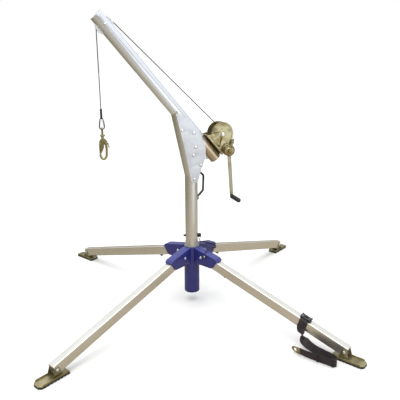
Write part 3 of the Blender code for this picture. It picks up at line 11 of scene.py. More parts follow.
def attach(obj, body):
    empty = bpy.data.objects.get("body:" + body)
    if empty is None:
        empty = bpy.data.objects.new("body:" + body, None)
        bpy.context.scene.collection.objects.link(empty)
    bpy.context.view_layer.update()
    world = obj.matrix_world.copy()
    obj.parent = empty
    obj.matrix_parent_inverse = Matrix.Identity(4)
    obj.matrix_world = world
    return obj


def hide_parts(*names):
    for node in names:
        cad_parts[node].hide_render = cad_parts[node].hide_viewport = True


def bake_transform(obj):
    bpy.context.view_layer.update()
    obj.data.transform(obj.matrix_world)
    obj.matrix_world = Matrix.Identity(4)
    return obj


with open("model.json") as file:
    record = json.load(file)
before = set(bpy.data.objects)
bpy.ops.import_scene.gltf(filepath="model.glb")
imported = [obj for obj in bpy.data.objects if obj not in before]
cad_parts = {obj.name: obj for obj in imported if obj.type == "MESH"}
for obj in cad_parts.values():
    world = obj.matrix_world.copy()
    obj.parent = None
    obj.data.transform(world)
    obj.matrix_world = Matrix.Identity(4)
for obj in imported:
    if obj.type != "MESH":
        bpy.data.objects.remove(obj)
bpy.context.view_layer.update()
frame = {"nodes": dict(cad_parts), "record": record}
nodes = frame["nodes"]

# Camera and stage
view = {
    "place": (-1.0432, -2.7177, 1.553),
    "azimuth": 67.97,  # heading, from +X
    "pitch": -16.99,
    "roll": -0.16,
    "focal": 502.0 / 400.0,  # in widths of the picture
}


def makeCamera(v):
    # Looks along (cos h cos p, sin h cos p, sin p) for heading h and pitch p, then rolls about that line.
    heading, pitch = math.radians(v["azimuth"]), math.radians(v["pitch"])
    ahead = Vector((math.cos(heading) * math.cos(pitch), math.sin(heading) * math.cos(pitch),
                    math.sin(pitch)))
    right = ahead.cross(Vector((0, 0, 1))).normalized()
    up = right.cross(ahead)
    turn = Matrix((right, up, -ahead)).transposed().to_4x4()
    data = bpy.data.cameras.new("camera")
    data.sensor_width = 36.0
    data.lens = 36.0 * v["focal"]
    camera = bpy.data.objects.new("camera", data)
    roll = Matrix.Rotation(math.radians(v["roll"]), 4, "Z")
    camera.matrix_world = Matrix.Translation(v["place"]) @ turn @ roll
    bpy.context.scene.collection.objects.link(camera)
    bpy.context.scene.camera = camera


# Shader maths: a wire is one socket, and maths on it adds nodes
class Wire:
    def __init__(self, tree, socket):
        self.tree, self.socket = tree, socket

    def maths(self, operation, *others, flipped=False):
        step = self.tree.nodes.new("ShaderNodeMath")
        step.operation = operation
        values = (self, *others)
        for slotIn, value in zip(step.inputs, values[::-1] if flipped else values):
            plug(self.tree, slotIn, value)
        return Wire(self.tree, step.outputs[0])

    def __add__(self, other):
        return self.maths("ADD", other)

    def __sub__(self, other):
        return self.maths("SUBTRACT", other)

    def __rsub__(self, other):
        return self.maths("SUBTRACT", other, flipped=True)

    def __mul__(self, other):
        return self.maths("MULTIPLY", other)

    def __truediv__(self, other):
        return self.maths("DIVIDE", other)

    def __rtruediv__(self, other):
        return self.maths("DIVIDE", other, flipped=True)

    def __pow__(self, other):
        return self.maths("POWER", other)

    def __rpow__(self, other):
        return self.maths("POWER", other, flipped=True)

    __radd__, __rmul__ = __add__, __mul__

    def clamp(self):
        low = self.maths("MAXIMUM", 0.0)
        return low.maths("MINIMUM", 1.0)


def plug(tree, slotIn, value):
    # A socket takes a link from a wire, or else a plain value.
    if isinstance(value, Wire):
        tree.links.new(value.socket, slotIn)
    else:
        slotIn.default_value = value


# A paint is one material, or the world, with short ways to add nodes and fill the closing shader
class Paint:
    def __init__(self, name, world=None):
        self.material = world or bpy.data.materials.new(name)
        self.material.use_nodes = True
        self.tree = self.material.node_tree
        self.shader = self.tree.nodes["Background" if world else "Principled BSDF"]

    def node(self, kind, settings=None, output=0, **values):
        made = self.tree.nodes.new(kind)
        for key, value in (settings or {}).items():
            if key == "stops":
                while len(made.color_ramp.elements) < len(value):
                    made.color_ramp.elements.new(0.5)
                for stop, (place, colour) in zip(made.color_ramp.elements, value):
                    stop.position, stop.color = place, (*colour, 1.0)
            else:
                setattr(made, key, value)
        for key, value in values.items():
            plug(self.tree, made.inputs[key.replace("_", " ")], value)
        return Wire(self.tree, made.outputs[output])

    def where(self, scale=(1, 1, 1), source="Object"):
        spot = self.node("ShaderNodeTexCoord", output=source)
        return self.node("ShaderNodeMapping", Vector=spot, Scale=scale)

    def noise(self, spot, scale, detail=3.0):
        return self.node("ShaderNodeTexNoise", Vector=spot, Scale=scale, Detail=detail)

    def blend(self, factor, low, high):
        mix = self.tree.nodes.new("ShaderNodeMix")
        mix.data_type = "RGBA"
        plug(self.tree, mix.inputs[0], factor)
        for slotIn, value in ((mix.inputs[6], low), (mix.inputs[7], high)):
            plug(self.tree, slotIn, value if isinstance(value, Wire) else (*value, 1.0))
        return Wire(self.tree, mix.outputs[2])

    def bump(self, height, strength, distance):
        return self.node("ShaderNodeBump", Height=height, Strength=strength, Distance=distance)

    def finish(self, **values):
        for key, value in values.items():
            if isinstance(value, tuple) and len(value) == 3:
                value = (*value, 1.0)
            plug(self.tree, self.shader.inputs[key.replace("_", " ")], value)
        return self.material


def ramp(wire, low, high):  # 0 below low, 1 above high
    return ((wire - low) / (high - low)).clamp()


alloyLook = {
    "pale": (0.72, 0.69, 0.62), "deep": (0.68, 0.65, 0.57), "metal": 0.90, "rough": (0.25, 0.33),
    # grain along and across, per metre
    "lines": (1.5, 900.0), "broad": (3.0, 60.0), "scratches": (30.0, 700.0),
    # the last pair: along the UV, where the boom's painted shade at its tail fades out and where it is full
    "marks": 6.0, "relief": 0.012, "tailShadeFrom": (0.19, 0.10),
}


# extruded aluminium: fine die lines along the piece, in its UV, and soft handling marks
def makeAlloy(name, look):
    p = Paint(name)
    lines = p.noise(p.where((*look["lines"], 1), "UV"), 1.0, 2.0)
    broad = p.noise(p.where((*look["broad"], 1), "UV"), 1.0, 2.0)
    marks = p.noise(p.where(), look["marks"], 1.0)
    scratch = ramp(p.noise(p.where((*look["scratches"], 1), "UV"), 1.0, 3.0), 0.66, 0.70)
    tone = 0.45 * broad + 0.55 * marks
    colour = p.blend(ramp(tone, 0.36, 0.64), look["deep"], look["pale"])
    if "tail" in look:  # painted shade and painted reflection: warmer and darker towards the end where the UV starts, where the gilt frame beside it shades the tube and is mirrored in it
        far = p.node("ShaderNodeSeparateXYZ", output="X", Vector=p.where(source="UV"))
        colour = p.blend(ramp(far, *look["tailShadeFrom"]), colour, look["tail"])
    low, high = look["rough"]
    rough = low + (high - low) * ramp(marks, 0.35, 0.65) + 0.03 * scratch
    return p.finish(Base_Color=colour, Metallic=look["metal"], Roughness=rough,
                    Normal=p.bump(lines, look["relief"], 0.0001))


# cut plate with a faint brushed grain
def makeRolled(name, pale, deep, metal, rough, grain=420.0, direction=(1, 1, 1)):
    p = Paint(name)
    streak = p.noise(p.where(tuple(grain * d for d in direction)), 1.0, 2.0)
    cloud = p.noise(p.where(), 14.0, 4.0)
    colour = p.blend(ramp(cloud, 0.36, 0.66), deep, pale)
    return p.finish(Base_Color=colour, Metallic=metal,
                    Roughness=rough + 0.14 * (streak - 0.5) + 0.10 * (cloud - 0.5),
                    Normal=p.bump(streak, 0.08, 0.0003))


def makeZinc(name, stops, rough, metal=0.85):  # chromate film: hue drifts with its thickness
    p = Paint(name)
    film = p.noise(p.where(), 17.0, 1.5)
    fine = p.noise(p.where(), 240.0, 2.0)
    colour = p.node("ShaderNodeValToRGB", {"stops": stops}, Fac=(film * 0.85 + fine * 0.15))
    return p.finish(Base_Color=colour, Metallic=metal, Roughness=rough + 0.16 * (fine - 0.5),
                    Normal=p.bump(fine, 0.10, 0.0003))


def makeCoat(name, colour, shade, rough, coat=0.25):  # powder coat: orange peel and a little dust
    p = Paint(name)
    peel = p.noise(p.where(), 520.0, 2.0)
    cloud = p.noise(p.where(), 18.0, 4.0)
    tint = p.blend(ramp(cloud, 0.35, 0.70), shade, colour)
    return p.finish(Base_Color=tint, Metallic=0.0, Roughness=rough + 0.10 * (cloud - 0.5), Coat_Weight=coat,
                    Coat_Roughness=0.25, Normal=p.bump(peel, 0.18, 0.0004))


def makeMoulded(name, colour, dust, rough, grain=900.0, depth=0.0003):  # rubber and plastics
    p = Paint(name)
    skin = p.noise(p.where(), grain, 3.0)
    cloud = p.noise(p.where(), 22.0, 3.0)
    return p.finish(Base_Color=p.blend(ramp(cloud, 0.45, 0.75), colour, dust), Metallic=0.0,
                    Roughness=rough + 0.12 * (cloud - 0.5), Normal=p.bump(skin, 0.25, depth))


paints = {
    "alloyLeg": makeAlloy("legAlloy", alloyLook),
    "alloyTube": makeAlloy("tubeAlloy",
                           {**alloyLook, "pale": (0.70, 0.68, 0.62), "deep": (0.66, 0.64, 0.57),
                            "rough": (0.22, 0.30)}),
    # the boom's aluminium: paler and cooler than the legs' and mast's as a painted highlight, with painted
    # shade and reflection at its tail
    "alloyBoomPaintedLight": makeAlloy("boomAlloyPaintedLight",
                           {**alloyLook, "pale": (0.80, 0.81, 0.83), "deep": (0.76, 0.77, 0.78),
                            "rough": (0.18, 0.25), "tail": (0.50, 0.39, 0.26)}),
    "plate": makeRolled("plateAlloy", (0.72, 0.73, 0.74), (0.58, 0.59, 0.61), 0.75, 0.42, 300.0,
                        (1, 1, 0.06)),
    "blue": makeCoat("bluePowder", (0.024, 0.027, 0.200), (0.017, 0.019, 0.140), 0.36),
    "gold": makeZinc("goldZinc",
                     ((0.30, (0.20, 0.13, 0.05)), (0.44, (0.33, 0.27, 0.13)), (0.56, (0.46, 0.41, 0.24)),
                      (0.68, (0.24, 0.20, 0.11))), 0.25),
    "arm": makeZinc("armZinc",
                    ((0.30, (0.28, 0.24, 0.14)), (0.50, (0.40, 0.36, 0.24)), (0.70, (0.32, 0.29, 0.19))),
                    0.36, 0.75),
    "olive": makeZinc("oliveZinc",
                      ((0.30, (0.16, 0.13, 0.06)), (0.50, (0.28, 0.24, 0.12)), (0.68, (0.36, 0.31, 0.18))),
                      0.42, 0.75),
    "hook": makeZinc("hookZinc",
                     ((0.30, (0.18, 0.14, 0.05)), (0.46, (0.31, 0.26, 0.10)), (0.58, (0.44, 0.39, 0.18)),
                      (0.72, (0.26, 0.22, 0.09))), 0.28),
    "bright": makeRolled("brightSteel", (0.80, 0.80, 0.79), (0.66, 0.66, 0.65), 0.95, 0.24, 500.0),
    "dark": makeRolled("darkSteel", (0.12, 0.12, 0.12), (0.05, 0.05, 0.05), 0.7, 0.36, 500.0),
    "rubber": makeMoulded("blackRubber", (0.012, 0.012, 0.012), (0.030, 0.029, 0.027), 0.72),
    "black": makeMoulded("blackPlastic", (0.006, 0.006, 0.006), (0.012, 0.012, 0.011), 0.60, 500.0, 0.0002),
    "greyNylon": makeMoulded("greyNylon", (0.20, 0.20, 0.19), (0.14, 0.14, 0.13), 0.48),
    "sheave": makeRolled("sheaveAlloy", (0.90, 0.90, 0.90), (0.84, 0.84, 0.83), 0.25, 0.50, 500.0),
    "nylon": makeMoulded("nylon", (0.74, 0.73, 0.69), (0.60, 0.59, 0.55), 0.48),
    "wire": makeMoulded("wireRope", (0.018, 0.015, 0.012), (0.036, 0.030, 0.024), 0.78, 700.0),
    "cord": makeMoulded("cordPaint", (0.012, 0.011, 0.012), (0.030, 0.028, 0.028), 0.62, 2600.0, 0.0004),
    "web": makeMoulded("webbing", (0.026, 0.018, 0.020), (0.046, 0.035, 0.037), 0.85, 1400.0, 0.0004),
}
slotPaint = {
    "mill_aluminium": "alloyLeg", "plate_aluminium": "plate", "blue_powder_coat": "blue", "gold_zinc": "gold",
    "olive_zinc": "olive", "bright_steel": "bright", "black_rubber": "rubber", "black_plastic": "black",
    "natural_nylon": "nylon", "galvanised_wire": "wire", "black_webbing": "web",
}
for part in frame["record"]["subparts"]:
    shown = nodes[part["node"]]
    shown.data.materials.clear()
    shown.data.materials.append(paints[slotPaint[part["material_slot"]]])


# Stage, lamps and world: the camera sees paper, the metal mirrors a room in three tones
stageLook = {
    "size": 60.0, "under": 0.0005,
    # tone near and far, and between which distances
    "paper": (0.81, 1.0), "spread": (1.2, 7.0), "tint": (1.0, 0.97, 0.92),
    "bounce": (0.38, 0.33, 0.25), "near": (0.60, 0.62, 0.65), "behind": (0.20, 0.17, 0.11),
    "behindFrom": (0.2, 2.6), "slant": 0.7, "nearRight": (-1.7, 0.5), "nearFront": (1.3, 2.1),
    "sky": ((0.0, (0.30, 0.25, 0.18)), (0.14, (0.46, 0.42, 0.34)), (0.30, (0.98, 1.03, 1.12)),
            (1.0, (1.22, 1.29, 1.40))),
}
lamps = {  # place, what it looks at, size, power, colour
    "overhead": ((-0.4, -0.3, 4.2), (0, 0, 0.6), (3.2, 3.2), 110.0, (1, 1, 1)),
    "frontLeft": ((-3.6, -2.6, 2.4), (0, 0, 0.7), (2.0, 2.4), 16.0, (1, 1, 1)),
    "frontRight": ((1.5, -3.5, 0.95), (0, 0, 1.0), (2.4, 1.9), 15.0, (0.93, 0.97, 1.0)),
}


def makeStage(look):
    # Paper goes with the distance (x * x + y * y) ** 0.5, what is mirrored with y * slant - x, x and -y.
    bpy.ops.mesh.primitive_plane_add(size=look["size"], location=(0, 0, -look["under"]))
    floor = bpy.context.object
    floor.name = "floor"
    p = Paint("floorPaper")
    seen = p.node("ShaderNodeLightPath", output="Is Camera Ray")
    spot = p.where()
    x, y = (p.node("ShaderNodeSeparateXYZ", output=axis, Vector=spot) for axis in "XY")
    mirrored = p.blend(ramp(y * look["slant"] - x, *look["behindFrom"]), look["bounce"], look["behind"])
    front = ramp(x, *look["nearRight"]) * ramp(y * -1.0, *look["nearFront"])
    mirrored = p.blend(front, mirrored, look["near"])
    near, far = (tuple(tone * t for t in look["tint"]) for tone in look["paper"])
    paper = p.blend(ramp((x * x + y * y) ** 0.5, *look["spread"]), near, far)
    p.finish(Base_Color=p.blend(seen, mirrored, paper), Roughness=0.9, Specular_IOR_Level=0.1)
    floor.data.materials.append(p.material)

    world = bpy.data.worlds.new("studio")
    bpy.context.scene.world = world
    p = Paint("studio", world)
    height = p.node("ShaderNodeSeparateXYZ", output="Z",
                    Vector=p.node("ShaderNodeTexCoord", output="Generated"))
    sky = p.node("ShaderNodeValToRGB", {"stops": look["sky"]}, Fac=height)
    p.finish(Color=p.blend(p.node("ShaderNodeLightPath", output="Is Camera Ray"), sky, (1, 1, 1)))


def makeLamp(name, place, toward, size, power, colour):  # an area lamp whose -Z looks at toward
    data = bpy.data.lights.new(name, "AREA")
    data.shape, data.size, data.size_y = "RECTANGLE", size[0], size[1]
    data.energy, data.color = power, colour
    lamp = bpy.data.objects.new(name, data)
    lamp.location = place
    lamp.rotation_euler = (Vector(toward) - Vector(place)).to_track_quat("-Z", "Y").to_euler()
    bpy.context.scene.collection.objects.link(lamp)


makeCamera(view)
makeStage(stageLook)
for name, lamp in lamps.items():
    makeLamp(name, *lamp)
bpy.context.scene.view_settings.view_transform = "Standard"
print("stage ready")


# Mesh tools
def merged(mesh, within=1e-6):  # coincident points become one, and every face looks outwards
    bm = bmesh.new()
    bm.from_mesh(mesh)
    bmesh.ops.remove_doubles(bm, verts=bm.verts, dist=within)
    bmesh.ops.dissolve_degenerate(bm, edges=bm.edges, dist=within)
    bmesh.ops.recalc_face_normals(bm, faces=bm.faces)
    bm.to_mesh(mesh)
    bm.free()


def asObject(name, mesh, paint, angle=35.0):
    # Shaded smooth, and sharp where two faces meet at more than angle.
    mesh.materials.clear()
    mesh.materials.append(paint)
    mesh.shade_smooth()
    mesh.set_sharp_from_angle(angle=math.radians(angle))
    made = bpy.data.objects.new(name, mesh)
    bpy.context.scene.collection.objects.link(made)
    return made


def surface(name, pts, paint, loopU=False, caps=False, angle=35.0, place=None):
    # A grid of points pts[u, v], closed along v, joined into four-sided faces; its UV is the distance along
    # u and v, in metres.
    pts = np.asarray(pts, float)
    nu, nv = pts.shape[:2]
    a, b = np.meshgrid(np.arange(nu if loopU else nu - 1), np.arange(nv), indexing="ij")
    a2, b2 = (a + 1) % nu, (b + 1) % nv
    quads = np.stack([a * nv + b, a2 * nv + b, a2 * nv + b2, a * nv + b2], -1).reshape(-1, 4)
    stepU = np.linalg.norm(np.roll(pts, -1, 0) - pts, axis=2).max(axis=1)
    stepV = np.linalg.norm(np.roll(pts, -1, 1) - pts, axis=2).max(axis=0)
    farU, farV = np.append(0, np.cumsum(stepU)), np.append(0, np.cumsum(stepV))
    uv = np.stack([np.stack([farU[a + i], farV[b + j]], -1) for i, j in ((0, 0), (1, 0), (1, 1), (0, 1))],
                  -2).reshape(-1, 2)
    faces = quads.tolist()
    if caps:
        faces += [list(range(nv))[::-1], list(range((nu - 1) * nv, nu * nv))]
        uv = np.vstack([uv, np.zeros((2 * nv, 2))])
    mesh = bpy.data.meshes.new(name)
    mesh.from_pydata(pts.reshape(-1, 3).tolist(), [], faces)
    mesh.uv_layers.new(name="UVMap").data.foreach_set("uv", uv.ravel())
    if place is not None:
        mesh.transform(place)
    merged(mesh)
    return asObject(name, mesh, paint, angle)


def frames(path, loop=False):
    # Two directions across a path at each of its points, which never twist (double reflection).
    path = np.asarray(path, float)
    if loop:
        along = np.roll(path, -1, 0) - np.roll(path, 1, 0)
    else:
        along = np.gradient(path, axis=0)
    along /= np.linalg.norm(along, axis=1)[:, None]
    start = np.cross(along[0], (0.0, 0.0, 1.0) if abs(along[0][2]) < 0.9 else (0.0, 1.0, 0.0))
    side = [start / np.linalg.norm(start)]
    for i in range(len(path) - 1):
        v1 = path[i + 1] - path[i]
        c1 = max(v1 @ v1, 1e-18)
        r = side[-1] - 2 / c1 * (v1 @ side[-1]) * v1
        t = along[i] - 2 / c1 * (v1 @ along[i]) * v1
        v2 = along[i + 1] - t
        c2 = max(v2 @ v2, 1e-18)
        side.append(r - 2 / c2 * (v2 @ r) * v2)
    side = np.array(side)
    return side, np.cross(along, side)


def swept(name, path, radius, paint, sides=20, loop=False, strands=0, lay=0.03, depth=0.14, flatten=1.0):
    # A round section carried along a path; strands give it the lobes of a laid rope, which turn once per lay.
    path = np.asarray(path, float)
    a, b = frames(path, loop)
    if loop:  # the last section is turned back onto the first
        slip = math.atan2(a[0] @ b[-1], a[0] @ a[-1])
        turn = np.linspace(0, slip, len(path))[:, None]
        a, b = a * np.cos(turn) + b * np.sin(turn), b * np.cos(turn) - a * np.sin(turn)
    far = np.append(0, np.cumsum(np.linalg.norm(np.diff(path, axis=0), axis=1)))[:, None]
    theta = np.linspace(0, 2 * np.pi, sides, endpoint=False)[None, :]
    r = np.broadcast_to(np.asarray(radius, float).reshape(-1, 1), (len(path), sides))
    if strands:
        r = r * (1 - depth + depth * np.abs(np.cos(strands / 2 * (theta - 2 * np.pi * far / lay))))
    outA, outB = (r * np.cos(theta))[..., None], (flatten * r * np.sin(theta))[..., None]
    pts = path[:, None] + a[:, None] * outA + b[:, None] * outB
    return surface(name, pts, paint, loopU=loop, caps=not loop)


def turned(name, profile, paint, place=None, sides=48, loop=False, angle=35.0):
    # A profile of (radius, height) turned about Z; a third number from 0 to 1 turns its circle into a
    # hexagon.
    rows = np.array([(*p, 0.0)[:3] for p in profile], float)
    theta = np.linspace(0, 2 * np.pi, sides, endpoint=False)
    hexagon = math.cos(math.pi / 6) / np.cos((theta + math.pi / 6) % (math.pi / 3) - math.pi / 6)
    r = rows[:, :1] * (1 + rows[:, 2:] * (hexagon[None, :] - 1))
    pts = np.stack([r * np.cos(theta), r * np.sin(theta), np.broadcast_to(rows[:, 1:2], r.shape)], -1)
    return surface(name, pts, paint, loopU=loop, angle=angle, place=place)


def rounded(corners, step=0.16):
    # The outline of a polygon of (x, y, radius) corners, each rounded by an arc.
    outline = []
    for i, (x, y, radius) in enumerate(corners):
        here = np.array((x, y))
        back = np.array(corners[i - 1][:2]) - here
        on = np.array(corners[(i + 1) % len(corners)][:2]) - here
        backLength, onLength = np.linalg.norm(back), np.linalg.norm(on)
        back, on = back / backLength, on / onLength
        half = math.acos(np.clip(back @ on, -1, 1)) / 2
        if radius <= 0 or half > math.radians(89.5):
            outline.append(here[None])
            continue
        reach = min(radius / math.tan(half), 0.48 * backLength, 0.48 * onLength)
        middle = here + (back + on) / np.linalg.norm(back + on) * reach * math.tan(half) / math.sin(half)
        start = here + back * reach - middle
        end = here + on * reach - middle
        turn = math.atan2(start[0] * end[1] - start[1] * end[0], start @ end)
        t = np.linspace(0, turn, max(2, math.ceil(abs(turn) / step) + 1))[:, None]
        outline.append(middle + start * np.cos(t) + np.array((-start[1], start[0])) * np.sin(t))
    return np.vstack(outline)


def panel(x0, y0, x1, y1, radius, step=0.16):  # a rectangle with rounded corners
    return rounded([(x0, y0, radius), (x1, y0, radius), (x1, y1, radius), (x0, y1, radius)], step)


def ringOf(centre, radius, sides=40):
    # centre + radius (cos t, sin t)
    t = np.linspace(0, 2 * np.pi, sides, endpoint=False)
    return np.stack([centre[0] + radius * np.cos(t), centre[1] + radius * np.sin(t)], -1)


def slab(name, outlines, thickness, paint, place, edge=0.0006, angle=35.0, steps=1):
    # A flat plate from closed outlines, the ones inside the first being holes, with its edges rounded by
    # edge.
    data = bpy.data.curves.new(name, "CURVE")
    data.dimensions, data.fill_mode = "2D", "BOTH"
    data.extrude, data.offset = thickness / 2 - edge, -edge
    data.bevel_depth, data.bevel_resolution = edge, steps
    for outline in outlines:
        spline = data.splines.new("POLY")
        spline.points.add(len(outline) - 1)
        flat = np.hstack([outline, np.zeros((len(outline), 1)), np.ones((len(outline), 1))])
        spline.points.foreach_set("co", flat.ravel())
        spline.use_cyclic_u = True
    shape = bpy.data.objects.new(name, data)
    mesh = bpy.data.meshes.new_from_object(shape)
    bpy.data.objects.remove(shape)
    mesh.transform(place)
    merged(mesh, 1e-5)
    return asObject(name, mesh, paint, angle)


def joined(name, *pieces):  # several meshes as one piece, each keeping its paint
    paintsUsed = list(dict.fromkeys(m for p in pieces for m in p.data.materials))
    bm = bmesh.new()
    for piece in pieces:
        slots = [paintsUsed.index(m) for m in piece.data.materials]
        first = len(bm.faces)
        bm.from_mesh(piece.data)
        bm.faces.ensure_lookup_table()
        for face in bm.faces[first:]:
            face.material_index = slots[face.material_index]
    mesh = bpy.data.meshes.new(name)
    bm.to_mesh(mesh)
    bm.free()
    for used in paintsUsed:
        mesh.materials.append(used)
    for piece in pieces:
        bpy.data.objects.remove(piece)
    made = bpy.data.objects.new(name, mesh)
    bpy.context.scene.collection.objects.link(made)
    return made


def carved(piece, *tools):  # the piece with the tools taken out of it
    for tool in tools:
        step = piece.modifiers.new("cut", "BOOLEAN")
        step.object, step.operation, step.solver = tool, "DIFFERENCE", "EXACT"
    bpy.context.view_layer.update()
    mesh = bpy.data.meshes.new_from_object(piece.evaluated_get(bpy.context.evaluated_depsgraph_get()))
    paint, name = piece.data.materials[0], piece.name
    for thing in (*tools, piece):
        bpy.data.objects.remove(thing)
    return asObject(name, mesh, paint)


def fitted(piece, body, slotName, *replaced):
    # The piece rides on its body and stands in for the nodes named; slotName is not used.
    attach(piece, body)
    if replaced:
        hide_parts(*replaced)


def axesAt(origin, x, y, z):  # a place with these three axes
    turn = Matrix([Vector(axis) for axis in (x, y, z)]).transposed().to_4x4()
    return Matrix.Translation(Vector(origin)) @ turn


def facing(origin, direction):  # a place whose Z looks along a direction
    return Matrix.Translation(Vector(origin)) @ Vector(direction).to_track_quat("Z", "Y").to_matrix().to_4x4()


def shift(x=0.0, y=0.0, z=0.0):
    return Matrix.Translation((x, y, z))


standXZ = axesAt((0, 0, 0), (1, 0, 0), (0, 0, 1), (0, -1, 0))  # a flat drawn in (x, z)
standYZ = axesAt((0, 0, 0), (0, 1, 0), (0, 0, 1), (1, 0, 0))  # a flat drawn in (y, z)


def through(points, count):
    # A smooth line of count points through a few given ones (Catmull-Rom).
    p = np.asarray(points, float)
    p = np.vstack([2 * p[0] - p[1], p, 2 * p[-1] - p[-2]])
    t = np.linspace(0.0, len(p) - 3, count)
    i = np.minimum(t.astype(int), len(p) - 4)
    f = (t - i)[:, None]
    a, b, c, d = p[i], p[i + 1], p[i + 2], p[i + 3]
    return 0.5 * (2 * b + (c - a) * f + (2 * a - 5 * b + 4 * c - d) * f**2 + (3 * b - a - 3 * c + d) * f**3)


def bent(points, radius, step=0.12):
    # Straight runs whose inner corners are arcs.
    points = [np.array(p, float) for p in points]
    path = [points[0][None]]
    for before, corner, after in zip(points, points[1:], points[2:]):
        back, on = before - corner, after - corner
        back, on = back / np.linalg.norm(back), on / np.linalg.norm(on)
        half = math.acos(np.clip(back @ on, -1, 1)) / 2
        middle = corner + (back + on) / np.linalg.norm(back + on) * radius / math.sin(half)
        start = corner + back * radius / math.tan(half) - middle
        end = corner + on * radius / math.tan(half) - middle
        sweep = math.pi - 2 * half
        t = np.linspace(0, sweep, max(3, math.ceil(sweep / step)))[:, None]
        path.append(middle + (start * np.sin(sweep - t) + end * np.sin(t)) / math.sin(sweep))
    return np.vstack([*path, points[-1][None]])


def evenly(path, step):
    # The same line with its points a step apart.
    path = np.asarray(path, float)
    far = np.append(0, np.cumsum(np.linalg.norm(np.diff(path, axis=0), axis=1)))
    s = np.linspace(0, far[-1], max(2, int(round(far[-1] / step)) + 1))
    return np.stack([np.interp(s, far, path[:, k]) for k in range(3)], -1)


def radial(degrees):
    # The level direction at an azimuth: (cos, sin, 0).
    return np.array((math.cos(math.radians(degrees)), math.sin(math.radians(degrees)), 0.0))


# Shared sizes: the legs' bolts as (radius, height), and half of a leg's section
up = np.array((0.0, 0.0, 1.0))
gap = 0.0003  # running clearance
legHinge, footHinge, legHalf = (0.093, 0.319), (1.041, 0.052), (0.022, 0.0285)
legSlope = math.atan2(legHinge[1] - footHinge[1], footHinge[0] - legHinge[0])
legAzimuth = [28.5 + 90 * k for k in range(4)]
legOut, legSide = radial(legAzimuth[3]), radial(legAzimuth[3] + 90)  # of the leg with the strap and the clip


# Lanyard: from the pin's ring, in loops on the hub, to its clip
lanyard = {
    "thick": 0.0044, "cut": 0.3975, "eye": (0.0494, 0.4103), "clip": (0.128, -0.027, 0.3365),
    "centre": (0.090, -0.045), "reach": (0.050, 0.036), "turned": -21.0, "steps": 19, "points": 260,
    # the loops lie on a cone and climb this much a turn
    "height": 0.38, "inside": 0.06, "slope": 0.25, "rise": 0.0053,
    "drop": ((0.030, 0.3608), (0.018, 0.3592), (0.009, 0.3583), (0.0045, 0.3569),
             (0.0014, 0.3537), (0.0001, 0.3500), (0.0, 0.3463)),
}
pinOut = radial(-20.0)
clipAt = legOut * lanyard["clip"][0] + legSide * lanyard["clip"][1] + up * lanyard["clip"][2]


def makeLanyard(look):
    # Loops: centre + longWay cos a + shortWay sin a, where a goes back 30 degrees a step, laid on a cone.
    half = look["thick"] / 2
    eye = pinOut * look["eye"][0] + up * look["eye"][1]
    longWay = radial(look["turned"]) * look["reach"][0]
    shortWay = radial(look["turned"] + 90) * look["reach"][1]
    a = np.radians(120.0 - 30.0 * np.arange(look["steps"]))[:, None]
    loops = np.array((*look["centre"], 0.0)) + longWay * np.cos(a) + shortWay * np.sin(a)
    climbed = (23 - np.arange(look["steps"])) / 12
    outwards = np.linalg.norm(loops, axis=1) - look["inside"]
    loops[:, 2] = look["height"] - look["slope"] * outwards + look["rise"] * climbed
    foot = clipAt * (1, 1, 0) - legSide * 0.0038
    back = np.array((0.0109, 0.0128, 0.0)) / 0.01681
    start = [eye + up * 0.0038, eye, eye - up * 0.0065 + pinOut * 0.0004,
             eye - up * 0.0125 + pinOut * 0.0035 + (0, 0.001, 0),
             eye - up * 0.0172 + pinOut * 0.0105 + (0, 0.005, 0)]
    end = [np.array((0.0845, -0.0885, 0.3632)), *[foot + back * d + up * z for d, z in look["drop"]]]
    path = through([*start, *loops, *end], look["points"])
    cut = int(np.argmax(path[:, 2] < look["cut"]))  # the path is cut where it first drops below this height: the drop from the pin, then the loops on the hub
    drop = swept("lanyardDrop", path[:cut + 1], half, paints["cord"], sides=14)
    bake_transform(drop)
    path = path[cut:]
    cord = swept("lanyardCord", path, half, paints["cord"], sides=14)
    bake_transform(cord)
    for piece in (drop, cord):
        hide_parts("lanyard")


# Strap: a webbing loop round the fourth leg and its free end, down to the ground and back
strap = {"width": 0.048, "thick": 0.0025, "at": 0.797, "rows": 150, "keepers": (0.80, 0.90),
         "keeper": (0.0016, 0.011)}
legAlong = legOut * math.cos(legSlope) - up * math.sin(legSlope)
legUp = np.cross(legAlong, legSide)
legPivot = legOut * legHinge[0] + up * legHinge[1]
strapX = (strap["at"] - legHinge[0]) / math.cos(legSlope)


def onLeg(x, y, z):
    # x along the leg from its bolt, y across it, z above its axis
    return legPivot + legAlong * x + legSide * y + legUp * z


def band(name, path, wide, look, paint, width=None):
    # A flat woven band: a thin stadium section carried along a path, with its width laid along wide.
    path, wide = np.asarray(path, float), np.asarray(wide, float)
    along = np.gradient(path, axis=0)
    along /= np.linalg.norm(along, axis=1)[:, None]
    wide = wide - along * (wide * along).sum(1)[:, None]
    wide /= np.linalg.norm(wide, axis=1)[:, None]
    normal = np.cross(along, wide)
    half, thin = (width or look["width"]) / 2, look["thick"] / 2
    across = np.concatenate([np.linspace(-1, 1, 17), np.linspace(1, -1, 17)])
    lift = np.repeat((1.0, -1.0), 17) * np.clip((1 - np.abs(across)) / 0.05, 0.25, 1) ** 0.5
    out, over = (across * half)[None, :, None], (lift * thin)[None, :, None]
    pts = path[:, None] + wide[:, None] * out + normal[:, None] * over
    return surface(name, pts, paint, caps=True)


